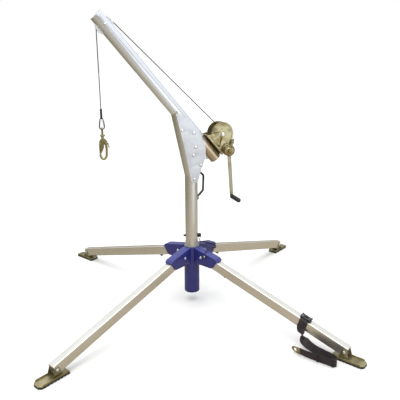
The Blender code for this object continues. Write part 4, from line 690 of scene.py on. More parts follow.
def strapKeys():
    # Pairs of a place and the way that the band's width points: over the leg, then to the ground and back.
    outer = gap + 1.5 * strap["thick"] - 0.0004
    top, near = legHalf[1] + outer, legHalf[0] + outer
    keys = [(onLeg(strapX, y, z), legAlong) for y, z in (
        (0.010, top), (-0.008, top), (-near + 0.006, top - 0.0005), (-near - 0.0002, top - 0.007),
        (-near - 0.0006, 0.0), (-near - 0.001, -0.020))]
    ground = ((0.800, -0.033, 0.080, (0.90, -0.35, -0.10)), (0.806, -0.038, 0.064, (0.42, -0.89, -0.13)),
              (0.822, -0.044, 0.048, (0.30, -0.75, -0.55)), (0.850, -0.050, 0.036, (0.12, -0.45, -0.88)),
              (0.895, -0.057, 0.0275, (0.0, -0.20, -1.0)), (0.950, -0.064, 0.0262, (0.0, -0.12, -1.0)),
              (1.000, -0.070, 0.0262, (0.0, -0.10, -1.0)), (1.024, -0.078, 0.0262, (0.0, -0.05, -1.0)),
              (1.033, -0.092, 0.0262, (0.02, 0.0, -1.0)), (1.024, -0.106, 0.0262, (0.0, 0.05, -1.0)),
              (0.998, -0.112, 0.0262, (0.0, 0.10, -1.0)), (0.945, -0.117, 0.0262, (0.0, 0.15, -1.0)),
              (0.890, -0.121, 0.0258, (0.0, 0.22, -1.0)), (0.842, -0.119, 0.0254, (0.0, 0.28, -1.0)))
    for r, t, z, w in ground:
        keys.append((legOut * r + legSide * t + up * z, legOut * w[0] + legSide * w[1] + up * w[2]))
    return keys


def keeperBand(path, wide, spot, look):  # a moulded loop that holds the free end's turns
    i = int(spot * (len(path) - 1))
    along = path[i + 1] - path[i - 1]
    along /= np.linalg.norm(along)
    side = wide[i] - along * (wide[i] @ along)
    side /= np.linalg.norm(side)
    normal = np.cross(along, side)
    thick, width = look["keeper"]
    w, d = look["width"] / 2 + 0.0012, look["thick"] / 2 + 0.0009
    corner = panel(-w, -d, w, d, 0.0015, 0.3)
    corner = np.vstack([corner, corner[:1]])
    points = path[i] + corner[:, :1] * side + corner[:, 1:] * normal
    return band("keeper", points, np.tile(along, (len(points), 1)), {**look, "thick": thick},
                paints["black"], width=width)


def makeStrap(look):
    # The free end is a band through the keys, the hoop one round the leg's section and its clearance.
    keys = strapKeys()
    path, wide = through([k[0] for k in keys], look["rows"]), through([k[1] for k in keys], look["rows"])
    tail = band("strapWebbing", path, wide, look, paints["web"])
    w, h = (half + gap + look["thick"] / 2 for half in legHalf)
    corner = panel(-w, -h, w, h, 0.005)
    corner = np.vstack([corner, corner[:1]])
    hoop = band("hoop", [onLeg(strapX, y, z) for y, z in corner], np.tile(legAlong, (len(corner), 1)), look,
                paints["web"])
    keepers = [keeperBand(path, wide, spot, look) for spot in look["keepers"]]
    webbing = joined("strapWebbing", tail, hoop, *keepers)
    fitted(webbing, "leg_4", "black_webbing", "leg_strap")


# Wire rope: the run from drum to sheave, the fall, and the turns on the drum
rope = {"radius": 0.0025, "strands": 6, "lay": 0.032, "step": 0.0020, "sides": 18, "fallX": -0.515592,
        "fallTop": 1.6619, "fallLow": 1.2363, "turns": 11.6, "perTurn": 44, "winding": 0.0277,
        "core": (0.0222, 0.0300)}
boomX, boomY = np.array((-0.6427876, 0, 0.7660444)), np.array((0.0, -1.0, 0.0))
boomZ = np.array((0.7660444, 0, 0.6427876))
boomOrigin = np.array((0, 0, 1.0984))
boomPlace = axesAt(boomOrigin, boomX, boomY, boomZ)
drumAt, drumRopeR, sheaveAt, sheaveR = np.array((-0.150, 0.1165)), 0.0245, 0.736, 0.0425


def onBoom(s, y, h):  # y towards the crank is positive
    return boomOrigin + boomX * s + boomY * y + boomZ * h


def makeRope(look):
    # The run lies on the common tangent of sheave and drum, tilted by asin((R - r) / distance); the coil is
    # a helix.
    sheaveSpot = np.array((sheaveAt, 0.0))
    run = drumAt - sheaveSpot
    length = np.linalg.norm(run)
    angle = math.atan2(run[1], run[0]) - math.asin((sheaveR - drumRopeR) / length)
    normal = np.array((math.sin(angle), -math.cos(angle)))
    top, end = sheaveSpot + normal * sheaveR, drumAt + normal * drumRopeR
    a = np.linspace(-math.radians(50.0), math.atan2(top[1], top[0] - sheaveAt), 40)
    arc = sheaveSpot + sheaveR * np.stack([np.cos(a), np.sin(a)], -1)
    clear = math.sqrt((drumRopeR + 2 * look["radius"] + gap) ** 2 - drumRopeR**2)
    line = np.vstack([arc, end - (end - top) / np.linalg.norm(end - top) * clear])
    path = evenly(onBoomLine(line), look["step"])
    laid = {"sides": look["sides"], "strands": look["strands"], "lay": look["lay"]}
    fitted(swept("ropeRun", path, look["radius"], paints["wire"], **laid), "mast", "galvanised_wire",
           "rope_run")
    z = np.arange(look["fallTop"], look["fallLow"], -look["step"])
    fall = np.column_stack([np.full(len(z), look["fallX"]), 0 * z, z])
    fallRope = swept("ropeFall", fall, look["radius"], paints["wire"], **laid)
    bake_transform(fallRope)
    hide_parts("rope_fall")
    turns = look["turns"]
    t = np.linspace(0, turns, int(turns * look["perTurn"]))
    circle = drumAt + drumRopeR * np.stack([np.cos(2 * math.pi * t), np.sin(2 * math.pi * t)], -1)
    wound = onBoomLine(circle, look["winding"] * (2 * t / turns - 1))
    r, half = look["core"]
    core = turned("core", [(r, -half), (r, half)], paints["wire"],
                  facing(onBoom(drumAt[0], 0, drumAt[1]), boomY), sides=40)
    coil = swept("coil", wound, look["radius"], paints["wire"], **laid)
    fitted(joined("ropeWinding", coil, core), "drum", "galvanised_wire", "rope_winding")


def onBoomLine(line, y=0.0):
    # Many places (along, off) in the boom's plane, at y.
    return boomOrigin + line[:, :1] * boomX + np.reshape(y, (-1, 1)) * boomY + line[:, 1:] * boomZ


makeLanyard(lanyard)
makeStrap(strap)
makeRope(rope)
print("cords ready")


# Mast: a round tube with a soft bend, cut to fit round the boom
mast = {"radius": 0.0381, "wall": 0.004, "foot": 0.0786, "bend": 0.823, "lean": math.radians(12.3),
        "bendRadius": 0.10, "saddle": 0.0353, "least": 0.004, "sides": 96}


def makeMast(look):
    # Circles carried up, round the bend and along the lean, until sqrt(saddle^2 - y^2) off the boom's axis.
    lean, bow = look["lean"], look["bendRadius"]
    leanZ = np.array((-math.sin(lean), 0, math.cos(lean)))
    theta = np.linspace(0, 2 * np.pi, look["sides"], endpoint=False)
    reach = bow * math.tan(lean / 2)
    a = np.linspace(0, lean, 9)
    bendPath = np.stack([-bow + bow * np.cos(a), 0 * a, look["bend"] - reach + bow * np.sin(a)], -1)
    shells = []
    for r in (look["radius"], look["radius"] - look["wall"]):
        rows = [np.stack([r * np.cos(theta), r * np.sin(theta), 0 * theta + z], -1)
                for z in np.linspace(look["foot"], look["bend"] - reach, 12)]
        for p, angle in zip(bendPath, a):
            out = np.array((math.cos(angle), 0, math.sin(angle)))
            rows.append(p + np.cos(theta)[:, None] * r * out
                        + np.sin(theta)[:, None] * r * np.array((0, 1, 0)))
        last = rows[-1]
        w0 = (last - boomOrigin) @ boomZ
        target = -np.sqrt(np.maximum(look["saddle"] ** 2 - last[:, 1] ** 2, look["least"] ** 2))
        length = (target - w0) / (leanZ @ boomZ)
        rows += [last + leanZ * (length * f)[:, None] for f in np.linspace(0, 1, 8)[1:]]
        shells.append(np.array(rows))
    pts = np.concatenate([shells[0], shells[1][::-1]])
    tube = surface("mastTube", pts, paints["alloyTube"], loopU=True)
    fitted(tube, "mast", "mill_aluminium", "mast_tube")


# Boom: a round tube with a slot at its tip for the sheave
boom = {"radius": 0.035, "wall": 0.004, "tail": -0.244, "tip": 0.800, "slot": (0.0772, 0.019), "edge": 0.0007}


def makeBoom(look):
    # A profile of the wall turned about the boom's axis, less a slot with round ends for the sheave.
    r, ri, e = look["radius"], look["radius"] - look["wall"], look["edge"]
    rings = [(r - e, look["tail"]), (r, look["tail"] + e),
             *[(r, s) for s in np.linspace(look["tail"] + 0.04, look["tip"] - 0.04, 14)],
             (r, look["tip"] - e), (r - e, look["tip"]), (ri + e, look["tip"]), (ri, look["tip"] - e),
             (ri, look["tail"] + e), (ri + e, look["tail"])]
    along = axesAt(boomOrigin, boomZ, boomY, boomX)
    tube = turned("boomTube", rings, paints["alloyBoomPaintedLight"], along, sides=96, loop=True)
    half, wide = look["slot"][0] / 2, look["slot"][1] / 2
    outline = panel(-half, -wide, half, wide, 0.98 * wide)
    place = boomPlace @ shift(sheaveAt, 0, 0)
    tool = slab("slotTool", [outline], 0.12, paints["alloyBoomPaintedLight"], place, edge=0.0001)
    fitted(carved(tube, tool), "mast", "mill_aluminium", "boom_tube")


# Legs: rectangular tubes with rounded corners and open ends
leg = {"wall": 0.003, "corner": 0.0045, "heel": -0.020, "end": 0.9969, "edge": 0.0005}


def legPlace(k):
    # X down along the leg from its bolt, Y to its side.
    out, side = radial(legAzimuth[k]), radial(legAzimuth[k] + 90)
    along = out * math.cos(legSlope) - up * math.sin(legSlope)
    return axesAt(out * legHinge[0] + up * legHinge[1], along, side, np.cross(along, side))


def boxLoop(w, h, corner, inset=0.0):  # every loop has the same number of points
    w, h, corner = w - inset, h - inset, max(corner - inset, 0.0002)
    points = []
    for cx, cy, start in ((1, 1, 0), (-1, 1, 90), (-1, -1, 180), (1, -1, 270)):
        a = np.radians(start + np.linspace(0, 90, 7))
        points.append(np.stack([cx * (w - corner) + corner * np.cos(a),
                                cy * (h - corner) + corner * np.sin(a)], -1))
    return np.vstack(points)


def makeLegs(look):
    # Rounded rectangles at stations along the leg, out along the outside and back along the inside.
    (w, h), wall, e = legHalf, look["wall"], look["edge"]
    a, b = look["heel"], look["end"]
    stations = [(a, 0, e), (a + e, 0, 0), *[(x, 0, 0) for x in np.linspace(a + 0.05, b - 0.05, 10)],
                (b - e, 0, 0), (b, 0, e), (b, wall, -e), (b - e, wall, 0), (a + e, wall, 0), (a, wall, -e)]
    for k in range(4):
        rings = []
        for x, into, inset in stations:
            loop = boxLoop(w - into, h - into, look["corner"] if not into else 0.0015, inset)
            rings.append(np.column_stack([np.full(len(loop), x), loop]))
        tube = surface(f"legTube{k + 1}", np.array(rings), paints["alloyLeg"], loopU=True, place=legPlace(k))
        fitted(tube, f"leg_{k + 1}", "mill_aluminium", f"leg_tube_{k + 1}")


# Rubber bumpers under the legs
bumper = {"at": 0.185, "radius": 0.011, "height": 0.0145}


def makeBumpers(look):
    # Turned: a foot ring, then a quarter ellipse (0.93 r cos x, 0.55 h sin x).
    r, h, under = look["radius"], look["height"], -legHalf[1] - gap
    a = np.linspace(0, math.pi / 2, 9)
    dome = [(0.0, under), (r, under), (r, under - 0.003), (r * 0.93, under - 0.0035),
            (r * 0.93, under - 0.45 * h)]
    dome += [(r * 0.93 * math.cos(x), under - 0.45 * h - 0.55 * h * math.sin(x)) for x in a[1:]]
    for k in range(4):
        made = turned(f"legBumper{k + 1}", dome, paints["rubber"], legPlace(k) @ shift(look["at"], 0, 0),
                      sides=40)
        fitted(made, f"leg_{k + 1}", "black_rubber", f"leg_bumper_{k + 1}")


makeMast(mast)
makeBoom(boom)
makeLegs(leg)
makeBumpers(bumper)
print("tubes ready")


# Hub: a socket tube with four inverted channels for the legs
hub = {
    "radius": 0.0475, "wall": 0.004, "low": 0.066, "high": 0.372, "floor": 0.006, "drain": 0.012,
    "edge": 0.0012,
    "inside": 0.0454, "sheet": 0.004, "bend": 0.0038, "heel": 0.053,
    "outline": ((0.0455, 0.3712, 0), (0.203, 0.337, 0.012), (0.218, 0.3225, 0.003), (0.187, 0.276, 0.012),
                (0.169, 0.268, 0.02), (0.0455, 0.268, 0)),
    "bead": 0.0022, "lip": 0.2125, "beyond": 0.238, "under": 0.248,
}


def standing(azimuth):  # a flat drawn in (radius, height) on the upright plane at this azimuth
    out = radial(azimuth)
    return axesAt((0, 0, 0), out, up, np.cross(out, up))


def beadLine(name, path, size):
    # A weld bead: a round section along a path that swells about every two diameters.
    path = evenly(path, 0.0009)
    far = np.arange(len(path)) * 0.0009
    return swept(name, path, size * (0.9 + 0.16 * np.abs(np.sin(math.pi * far / (1.7 * size)))),
                 paints["blue"], sides=12)


def makeHub(look):
    # A turned cup; for each leg an outline given thickness, less the room inside, with weld beads.
    r, ri, e = look["radius"], look["radius"] - look["wall"], look["edge"]
    low, high, floor, drain = look["low"], look["high"], look["low"] + look["floor"], look["drain"]
    socket = [(drain, low), (r - e, low), (r - 0.3 * e, low + 0.3 * e), (r, low + e),
              *[(r, z) for z in np.linspace(low + 0.02, high - 0.02, 8)], (r, high - e),
              (r - 0.3 * e, high - 0.3 * e), (r - e, high), (ri, high), (ri, floor), (drain, floor)]
    pieces = [turned("socket", socket, paints["blue"], sides=96, loop=True)]
    half = look["inside"] / 2 + look["sheet"]
    lip, beyond, under = look["lip"], look["beyond"], look["under"]

    def top(x):  # of the leg under the channel
        return legHinge[1] - (x - legHinge[0]) * math.tan(legSlope) + legHalf[1] / math.cos(legSlope) + gap

    space = [(look["heel"], under), (look["heel"], 0.3662), (0.2015, 0.333), (lip, 0.322), (lip, top(lip)),
             (beyond, top(beyond)), (beyond, under)]
    for k in range(4):
        place = standing(legAzimuth[k])
        shell = slab("channel", [rounded(look["outline"], 0.12)], 2 * half, paints["blue"], place,
                     edge=look["bend"], steps=4)
        room = slab("room", [rounded([(*p, 0.0018) for p in space])], look["inside"], paints["blue"], place,
                    edge=0.0012, steps=2)
        pieces.append(carved(shell, room))
        side = radial(legAzimuth[k] + 90)
        out = radial(legAzimuth[k])
        for s in (-1, 1):
            x = math.sqrt(r**2 - half**2)
            pieces.append(beadLine("weld",
                                   [out * x + side * (s * half) + up * z for z in (0.270, 0.320, 0.3655)],
                                   look["bead"]))
    made = joined("hubBody", *pieces)
    fitted(made, "base", "blue_powder_coat", "hub")


# Nylon bushes in the socket
bush = {"inner": 0.0384, "outer": 0.0432, "length": 0.040, "flange": 0.004, "rim": 0.0470, "edge": 0.0006}


def makeBushes(look):
    # Each bush is one closed profile turned about Z: the upper with a flange, the lower with a step.
    ri, ro, e = look["inner"], look["outer"], look["edge"]
    top, foot = hub["high"] + gap, mast["foot"] - gap
    upper = [(look["rim"], top), (look["rim"], top + look["flange"] - e),
             (look["rim"] - e, top + look["flange"]), (ri + e, top + look["flange"]),
             (ri, top + look["flange"] - e), (ri, top - look["length"]), (ro, top - look["length"]),
             (ro, top)]
    fitted(turned("upperBush", upper, paints["greyNylon"], sides=96, loop=True), "base", "natural_nylon",
           "upper_bush")
    seat = hub["low"] + hub["floor"] + gap
    lower = [(ro, seat + look["length"]), (ro, seat), (ri - 0.010, seat), (ri - 0.010, foot), (ri, foot),
             (ri, seat + look["length"])]
    fitted(turned("lowerBush", lower, paints["nylon"], sides=96, loop=True), "base", "natural_nylon",
           "lower_bush")


# Bolts: a domed head with a hexagon recess, a washer under it, and a lock nut
boltLook = {"socket": 0.42, "rim": 0.0004, "nutWide": 1.9, "nutHigh": 0.0080}


def boltShape(name, radius, grip, headR, headH, paint, place, nut=True, washer=0.0008, sides=48, collar=None):
    # Turned about Z: a recess, a dome (headR sin x, headH cos x), the shank, and a nut with its own washer.
    a = np.linspace(0, math.pi / 2, 9)[1:]
    hole, rim = headR * boltLook["socket"], boltLook["rim"]
    rows = [(0.0, headH * 0.45), (hole, headH * 0.45, 1.0), (hole, headH * 0.95, 1.0),
            (hole + rim, headH, 0.6)]
    rows += [(hole + rim + (headR - hole - rim) * math.sin(x), washer + (headH - washer) * math.cos(x))
             for x in a]
    rows += [(headR * 1.0, washer * 0.7), (headR * 1.0, 0.0), (radius, 0.0)]
    if collar:
        wide, inset = collar
        rows += [(radius, -inset), (wide - rim, -inset), (wide, -inset - rim), (wide, inset - grip + rim),
                 (wide - rim, inset - grip), (radius, inset - grip)]
    if nut:
        w, h = radius * boltLook["nutWide"], boltLook["nutHigh"]
        rows += [(radius, -grip), (w * 0.98, -grip), (w * 0.98, -grip - washer),
                 (w * 0.93, -grip - washer, 1.0), (w * 0.97, -grip - washer - 0.0005, 1.0),
                 (w, -grip - 0.0012, 1.0), (w, -grip - h + 0.0026, 1.0),
                 (w * 0.93, -grip - h + 0.0016, 0.6), (w * 0.74, -grip - h + 0.0012, 0),
                 (w * 0.70, -grip - h + 0.0002), (radius, -grip - h), (radius, -grip - h - 0.0022),
                 (radius * 0.8, -grip - h - 0.0028), (0.0, -grip - h - 0.0028)]
    else:
        rows += [(radius, -grip), (0.0, -grip)]
    return turned(name, rows[::-1], paint, place, sides=sides, angle=28.0)


def smallScrew(place):
    return boltShape("screw", 0.003, 0.004, 0.0055, 0.003, paints["bright"], place, nut=False, washer=0.0003)


pivotBolt = {"radius": 0.005, "headR": 0.009, "headH": 0.005}


def makeLegBolts(look):
    # Half the channel's width and clearance out from the leg's axis; every head faces the front, -Y.
    half = hub["inside"] / 2 + hub["sheet"] + gap
    for k in range(4):
        toward = radial(legAzimuth[k] + 90) * (1 if k in (1, 2) else -1)
        head = radial(legAzimuth[k]) * legHinge[0] + toward * half + up * legHinge[1]
        made = boltShape(f"legPivotBolt{k + 1}", look["radius"], 2 * half, look["headR"], look["headH"],
                         paints["bright"], facing(head, toward))
        fitted(made, "base", "bright_steel", f"leg_pivot_bolt_{k + 1}")


# Feet: a pressed shoe with lips and ears on a treaded rubber pad
foot = {"width": 0.066, "heel": 0.066, "toe": 0.108, "steel": 0.003, "lip": 0.011, "chamfer": 0.014,
        "inside": 0.0227, "pad": 0.010, "treads": 9, "depth": 0.004, "ear": 0.030,
        "bolt": (0.005, 0.0085, 0.0045)}


def makeFeet(look):
    # A flat sole, with a lip and an ear on both sides drawn upright, and a bolt through the ears.
    half, floor = look["width"] / 2, look["pad"] + gap - footHinge[1]
    heel, toe, c = look["heel"], look["toe"], look["chamfer"]
    outline = rounded([(-heel, -half, 0.004), (toe - c, -half, 0.005), (toe, -half + c, 0.005),
                       (toe, half - c, 0.005), (toe - c, half, 0.005), (-heel, half, 0.004)])
    for k in range(4):
        out, side = radial(legAzimuth[k]), radial(legAzimuth[k] + 90)
        base = axesAt(out * footHinge[0] + up * footHinge[1], out, side, up)
        pieces = [slab("sole", [outline], look["steel"], paints["olive"],
                       base @ shift(0, 0, floor + look["steel"] / 2), edge=0.0008)]
        for s in (-1, 1):
            x0, x1 = -heel + 0.006, toe - c - 0.002
            lip = rounded([(x0, floor + 0.0006, 0), (x1, floor + 0.0006, 0),
                           (x1 - 0.003, floor + look["lip"], 0.004),
                           (x0 + 0.003, floor + look["lip"], 0.004)])
            pieces.append(slab("lip", [lip], look["steel"] - 0.0002, paints["olive"],
                               base @ shift(0, s * (half - 0.0015), 0) @ standXZ, edge=0.0009, steps=2))
            ear = rounded([(-look["ear"], floor + 0.0006, 0.0), (look["ear"], floor + 0.0006, 0.0),
                           (0.013, 0.006, 0.010), (0.004, 0.0145, 0.012), (-0.010, 0.0145, 0.012),
                           (-0.014, 0.004, 0.010)])
            y = s * (look["inside"] + look["steel"] / 2)
            pieces.append(slab("ear", [ear], look["steel"], paints["olive"],
                               base @ shift(0, y, 0) @ standXZ, edge=0.0007))
        toward = 1 if k in (1, 2) else -1
        grip = 2 * (look["inside"] + look["steel"]) - 0.0002
        radius, headR, headH = look["bolt"]
        pieces.append(boltShape("footBolt", radius, grip, headR, headH, paints["bright"],
                                base @ facing((0, toward * grip / 2, 0), (0, toward, 0))))
        fitted(joined(f"footShoe{k + 1}", *pieces), f"foot_{k + 1}", "olive_zinc", f"foot_shoe_{k + 1}")
        makePad(k, look, outline, base)


def makePad(k, look, outline, base):
    # A slab less tapered grooves at an equal pitch.
    low = -footHinge[1]
    pad = slab("pad", [outline], look["pad"], paints["rubber"], base @ shift(0, 0, low + look["pad"] / 2),
               edge=0.0009, steps=2)
    pitch = (look["toe"] + look["heel"]) / look["treads"]
    tools = []
    for i in range(1, look["treads"]):
        x = -look["heel"] + i * pitch
        wide, deep = 0.26 * pitch, 0.17 * pitch
        cut = [(x - wide, low - 0.01), (x + wide, low - 0.01), (x + wide, low + 0.001),
               (x + deep, low + look["depth"]), (x - deep, low + look["depth"]), (x - wide, low + 0.001)]
        tools.append(slab("tread", [np.array(cut)], 0.2, paints["rubber"], base @ standXZ, edge=0.0001,
                          steps=0))
    made = carved(pad, *tools)
    made.name = f"footPad{k + 1}"
    fitted(made, f"foot_{k + 1}", "black_rubber", f"foot_pad_{k + 1}")


makeHub(hub)
makeBushes(bush)
makeLegBolts(pivotBolt)
makeFeet(foot)
print("base ready")


# Side plates that tie mast and boom together, and their bolts, as (reach, height) in the boom's plane
plates = {
    "thick": 0.005, "face": 0.0384, "edge": 0.0007, "hole": 0.0053,
    "outline": ((0.1065, 1.1930, 0.006), (0.0700, 1.0500, 0.3), (0.0340, 0.8800, 0.3),
                (0.0150, 0.7800, 0.016), (-0.0240, 0.7810, 0.016),
                (-0.0460, 0.8550, 0.08), (-0.0770, 0.9330, 0.05), (-0.0770, 0.9900, 0.08),
                (-0.0510, 1.0560, 0.08), (0.0066, 1.1290, 0.2),
                (0.0520, 1.1730, 0.05), (0.0760, 1.1930, 0.02)),
    "bolts": ((0.0674, 1.0967), (-0.0018, 0.9462), (-0.0062, 0.8027), (-0.0045, 1.0783)),
    "spaced": ((-0.0158, 0.9935), (-0.0463, 0.8844)),
}


def makePlates(look):
    # One outline with its bolt holes, given thickness on both faces of the tubes; -u is its x.
    outline = rounded([(-u, z, r) for u, z, r in look["outline"]], 0.05)
    holes = [ringOf((-u, z), look["hole"], 28) for u, z in (*look["bolts"], *look["spaced"])]
    for name, node, s in (("sidePlateNear", "side_plate_near", -1), ("sidePlateFar", "side_plate_far", 1)):
        place = shift(0, s * (look["face"] + look["thick"] / 2), 0) @ Matrix.Rotation(math.pi / 2, 4, "X")
        fitted(slab(name, [outline, *holes], look["thick"], paints["plate"], place, edge=look["edge"],
                    steps=2), "mast", "plate_aluminium", node)
    face = look["face"] + look["thick"] + gap
    inset = face - look["face"] + gap
    spots = [(spot, None) for spot in look["bolts"]] + [(spot, (0.009, inset)) for spot in look["spaced"]]
    for i, ((u, z), collar) in enumerate(spots):
        made = boltShape(f"plateBolt{i + 1}", 0.005, 2 * face, 0.0095, 0.0055, paints["bright"],
                         facing((-u, -face, z), (0, -1, 0)), collar=collar)
        fitted(made, "mast", "bright_steel", f"plate_bolt_{i + 1}")


# Head sheave with its axle and the rope keeper
sheave = {"pitch": 0.0425, "rim": 0.048, "width": 0.014, "axle": 0.006, "boss": 0.0293, "hub": 0.0085,
          "groove": 0.0029, "keeperAt": 0.787}


def makeSheave(look):
    # A profile with a groove (centre - g cos x, g sin x), turned about the axle.
    w, g = look["width"] / 2, look["groove"]
    root = look["pitch"] - rope["radius"] - gap
    a = np.radians(np.linspace(-62, 62, 13))
    centre = root + g
    groove = [(centre - g * math.cos(x), g * math.sin(x)) for x in a]
    half = [(look["axle"] + gap, look["boss"]), (look["hub"] - 0.0006, look["boss"]),
            (look["hub"], look["boss"] - 0.0006), (look["hub"], w * 0.6), (look["rim"] - 0.012, w * 0.6),
            (look["rim"] - 0.008, w * 0.85), (look["rim"] - 0.006, w), (look["rim"] - 0.0006, w),
            (look["rim"], w - 0.0006), (look["rim"] - 0.0003, w - 0.0016)]
    profile = [*half, *groove[::-1], *[(r, -z) for r, z in reversed(half)]]
    place = facing(onBoom(sheaveAt, 0, 0), boomY)
    fitted(turned("headSheave", profile, paints["sheave"], place, sides=80, loop=True), "sheave",
           "bright_steel", "head_sheave")
    across = 2 * (boom["radius"] + gap)
    bolts = (("sheaveAxle", "sheave_axle", sheaveAt, look["axle"], 0.0085, 0.005),
             ("ropeKeeper", "rope_keeper", look["keeperAt"], 0.003, 0.006, 0.003))
    for name, node, s, r, headR, headH in bolts:
        made = boltShape(name, r, across, headR, headH, paints["bright"],
                         facing(onBoom(s, across / 2, 0), boomY))
        fitted(made, "mast", "bright_steel", node)


# Carry handle behind the mast
handle = {"radius": 0.0065, "top": 0.842, "bottom": 0.690, "reach": 0.079, "bend": 0.014}


def makeHandle(look):
    # A bar along straight runs with bent corners, 6 % thinner in the middle, between hollowed pads.
    face, r = plates["face"], look["radius"]
    line = [(face + 0.003, 0, look["top"]), (face + 0.008, 0, look["top"]),
            (look["reach"], 0, look["top"] - 0.030), (look["reach"] - 0.003, 0, look["bottom"] + 0.028),
            (face + 0.010, 0, look["bottom"]), (face + 0.003, 0, look["bottom"])]
    path = evenly(bent(line, look["bend"]), 0.002)
    middle = np.clip(np.abs(path[:, 2] - (look["top"] + look["bottom"]) / 2) / 0.05, 0, 1)
    bar = swept("bar", path, r * (0.94 + 0.06 * middle**2), paints["black"], sides=24)
    pieces = [bar]
    for z, s in ((look["top"], 1), (look["bottom"], -1)):
        low, high = sorted((z - s * 0.006, z + s * 0.026))
        pad = panel(-0.009, low, 0.009, high, 0.004)
        place = axesAt((face + 0.001, 0, 0), (0, 1, 0), (0, 0, 1), (1, 0, 0))
        tool = turned("mastTool", [(0.0, 0.5), (face, 0.5), (face, 1.0), (0.0, 1.0)], paints["black"],
                      sides=96)
        pieces.append(carved(slab("pad", [pad], 0.010, paints["black"], place, edge=0.0014, steps=3), tool))
    screws = [smallScrew(facing((face + 0.0059, 0, z), (1, 0, 0)))
              for z in (look["top"] + 0.018, look["bottom"] - 0.018)]
    fitted(joined("carryHandle", *pieces, *screws), "mast", "black_plastic", "carry_handle")


makePlates(plates)
makeSheave(sheave)
makeHandle(handle)
print("head ready")


# Winch on the boom's tail: a folded frame, the drum with its gear, and the pawl
winch = {"from": -0.242, "to": -0.078, "low": 0.0353, "steel": 0.005, "side": 0.003, "rear": -0.040,
         "front": 0.0475, "bolts": (-0.205, -0.105), "pawl": (-0.2214, 0.1299),
         "shaft": (-0.23961, 0.07846)}
gear = {"module": 0.0033, "teeth": 42, "pinion": 17, "width": 0.007, "y": 0.0338,
        "toward": math.radians(203.0)}
drum = {"core": 0.0217, "rim": 0.070, "half": 0.0305, "flange": 0.0035, "axle": 0.008, "hub": 0.014}


def alongBoom(y):  # a flat drawn in (along, off) the boom, at this y
    return boomPlace @ shift(0, y, 0) @ standXZ


def boomAxle(s, h, y=0.0):  # Z along a crosswise axle
    return axesAt(onBoom(s, y, h), boomZ, boomX, boomY)


def toothed(teeth, module, phase):
    # Gear teeth: each flank leans in from root to tip, with a little rounding at both ends.
    pitch = teeth * module / 2
    top, root = pitch + 0.9 * module, pitch - 1.2 * module
    half = np.array((-0.330, -0.292, -0.262, -0.200, -0.142, -0.118, 0.118, 0.142, 0.200, 0.262, 0.292,
                     0.330))
    reach = np.array((root, root + 0.15 * module, root + 0.5 * module, pitch, top - 0.3 * module, top))
    reach = np.concatenate([reach, reach[::-1]])
    a = phase + 2 * np.pi * (np.arange(teeth)[:, None] + half[None, :]) / teeth
    return np.stack([reach * np.cos(a), reach * np.sin(a)], -1).reshape(-1, 2)


def frameOutline(look):
    # Lobes round the drum's axle, the pawl's stud and the pinion's shaft.
    (ds, dz), (ps, pz), (ws, wz) = drumAt, look["shaft"], look["pawl"]
    low = look["low"] + look["steel"] / 2
    return rounded([(look["from"] + 0.004, low, 0.0), (look["to"] - 0.006, low, 0.0),
                    (ds + 0.019, dz + 0.006, 0.02), (ds + 0.004, dz + 0.020, 0.014),
                    (ds - 0.018, dz + 0.013, 0.02), (ws + 0.016, wz - 0.006, 0.02),
                    (ws + 0.010, wz + 0.011, 0.006), (ws - 0.014, wz + 0.009, 0.006),
                    (ps - 0.016, pz + 0.022, 0.02), (look["from"] - 0.002, pz - 0.008, 0.012)], step=0.1)


def makeWinchFrame(look):
    # Two sides with a window, the folded base with its bolts, and the pawl's stud.
    ds, dz = drumAt
    low = look["low"] + look["steel"] + 0.008
    window = rounded([(ds - 0.046, low, 0.006), (ds + 0.034, low, 0.006), (ds + 0.007, dz - 0.017, 0.005),
                      (ds - 0.010, dz - 0.017, 0.005)])
    holes = [ringOf(drumAt, drum["axle"] + gap), ringOf(look["shaft"], 0.0083)]
    outline = frameOutline(look)
    pieces = [slab("side", [outline, *holes, window], look["side"], paints["gold"], alongBoom(y),
                   edge=0.0007, steps=2)
              for y in (look["rear"] + look["side"] / 2, look["front"] - look["side"] / 2)]
    fold = rounded([(look["rear"], look["low"], 0.0038), (look["front"], look["low"], 0.0038),
                    (look["front"], look["low"] + look["steel"], 0.0005),
                    (look["rear"], look["low"] + look["steel"], 0.0005)])
    middle, length = (look["from"] + look["to"]) / 2, look["to"] - look["from"]
    cross = boomPlace @ shift(middle, 0, 0) @ standYZ
    pieces.append(slab("fold", [fold], length, paints["gold"], cross, edge=0.0009, steps=2))
    over = look["low"] + look["steel"]
    for s in look["bolts"]:
        pieces.append(boltShape("winchBolt", 0.005, over + winch["low"], 0.009, 0.005, paints["bright"],
                                boomPlace @ shift(s, 0, over - 0.0001)))
    stud = onBoom(look["pawl"][0], look["front"] + 0.0130, look["pawl"][1])
    pieces.append(boltShape("stud", 0.004, 0.0135, 0.007, 0.003, paints["gold"], facing(stud, boomY),
                            nut=False, washer=0.0004))
    fitted(joined("winchFrame", *pieces), "mast", "gold_zinc", "winch_frame")
    grip = look["front"] - look["rear"] + 2 * gap
    head = facing(onBoom(ds, look["front"] + gap, dz), boomY)
    fitted(boltShape("drumAxle", drum["axle"], grip, 0.013, 0.007, paints["bright"], head, sides=72),
           "mast", "bright_steel", "drum_axle")


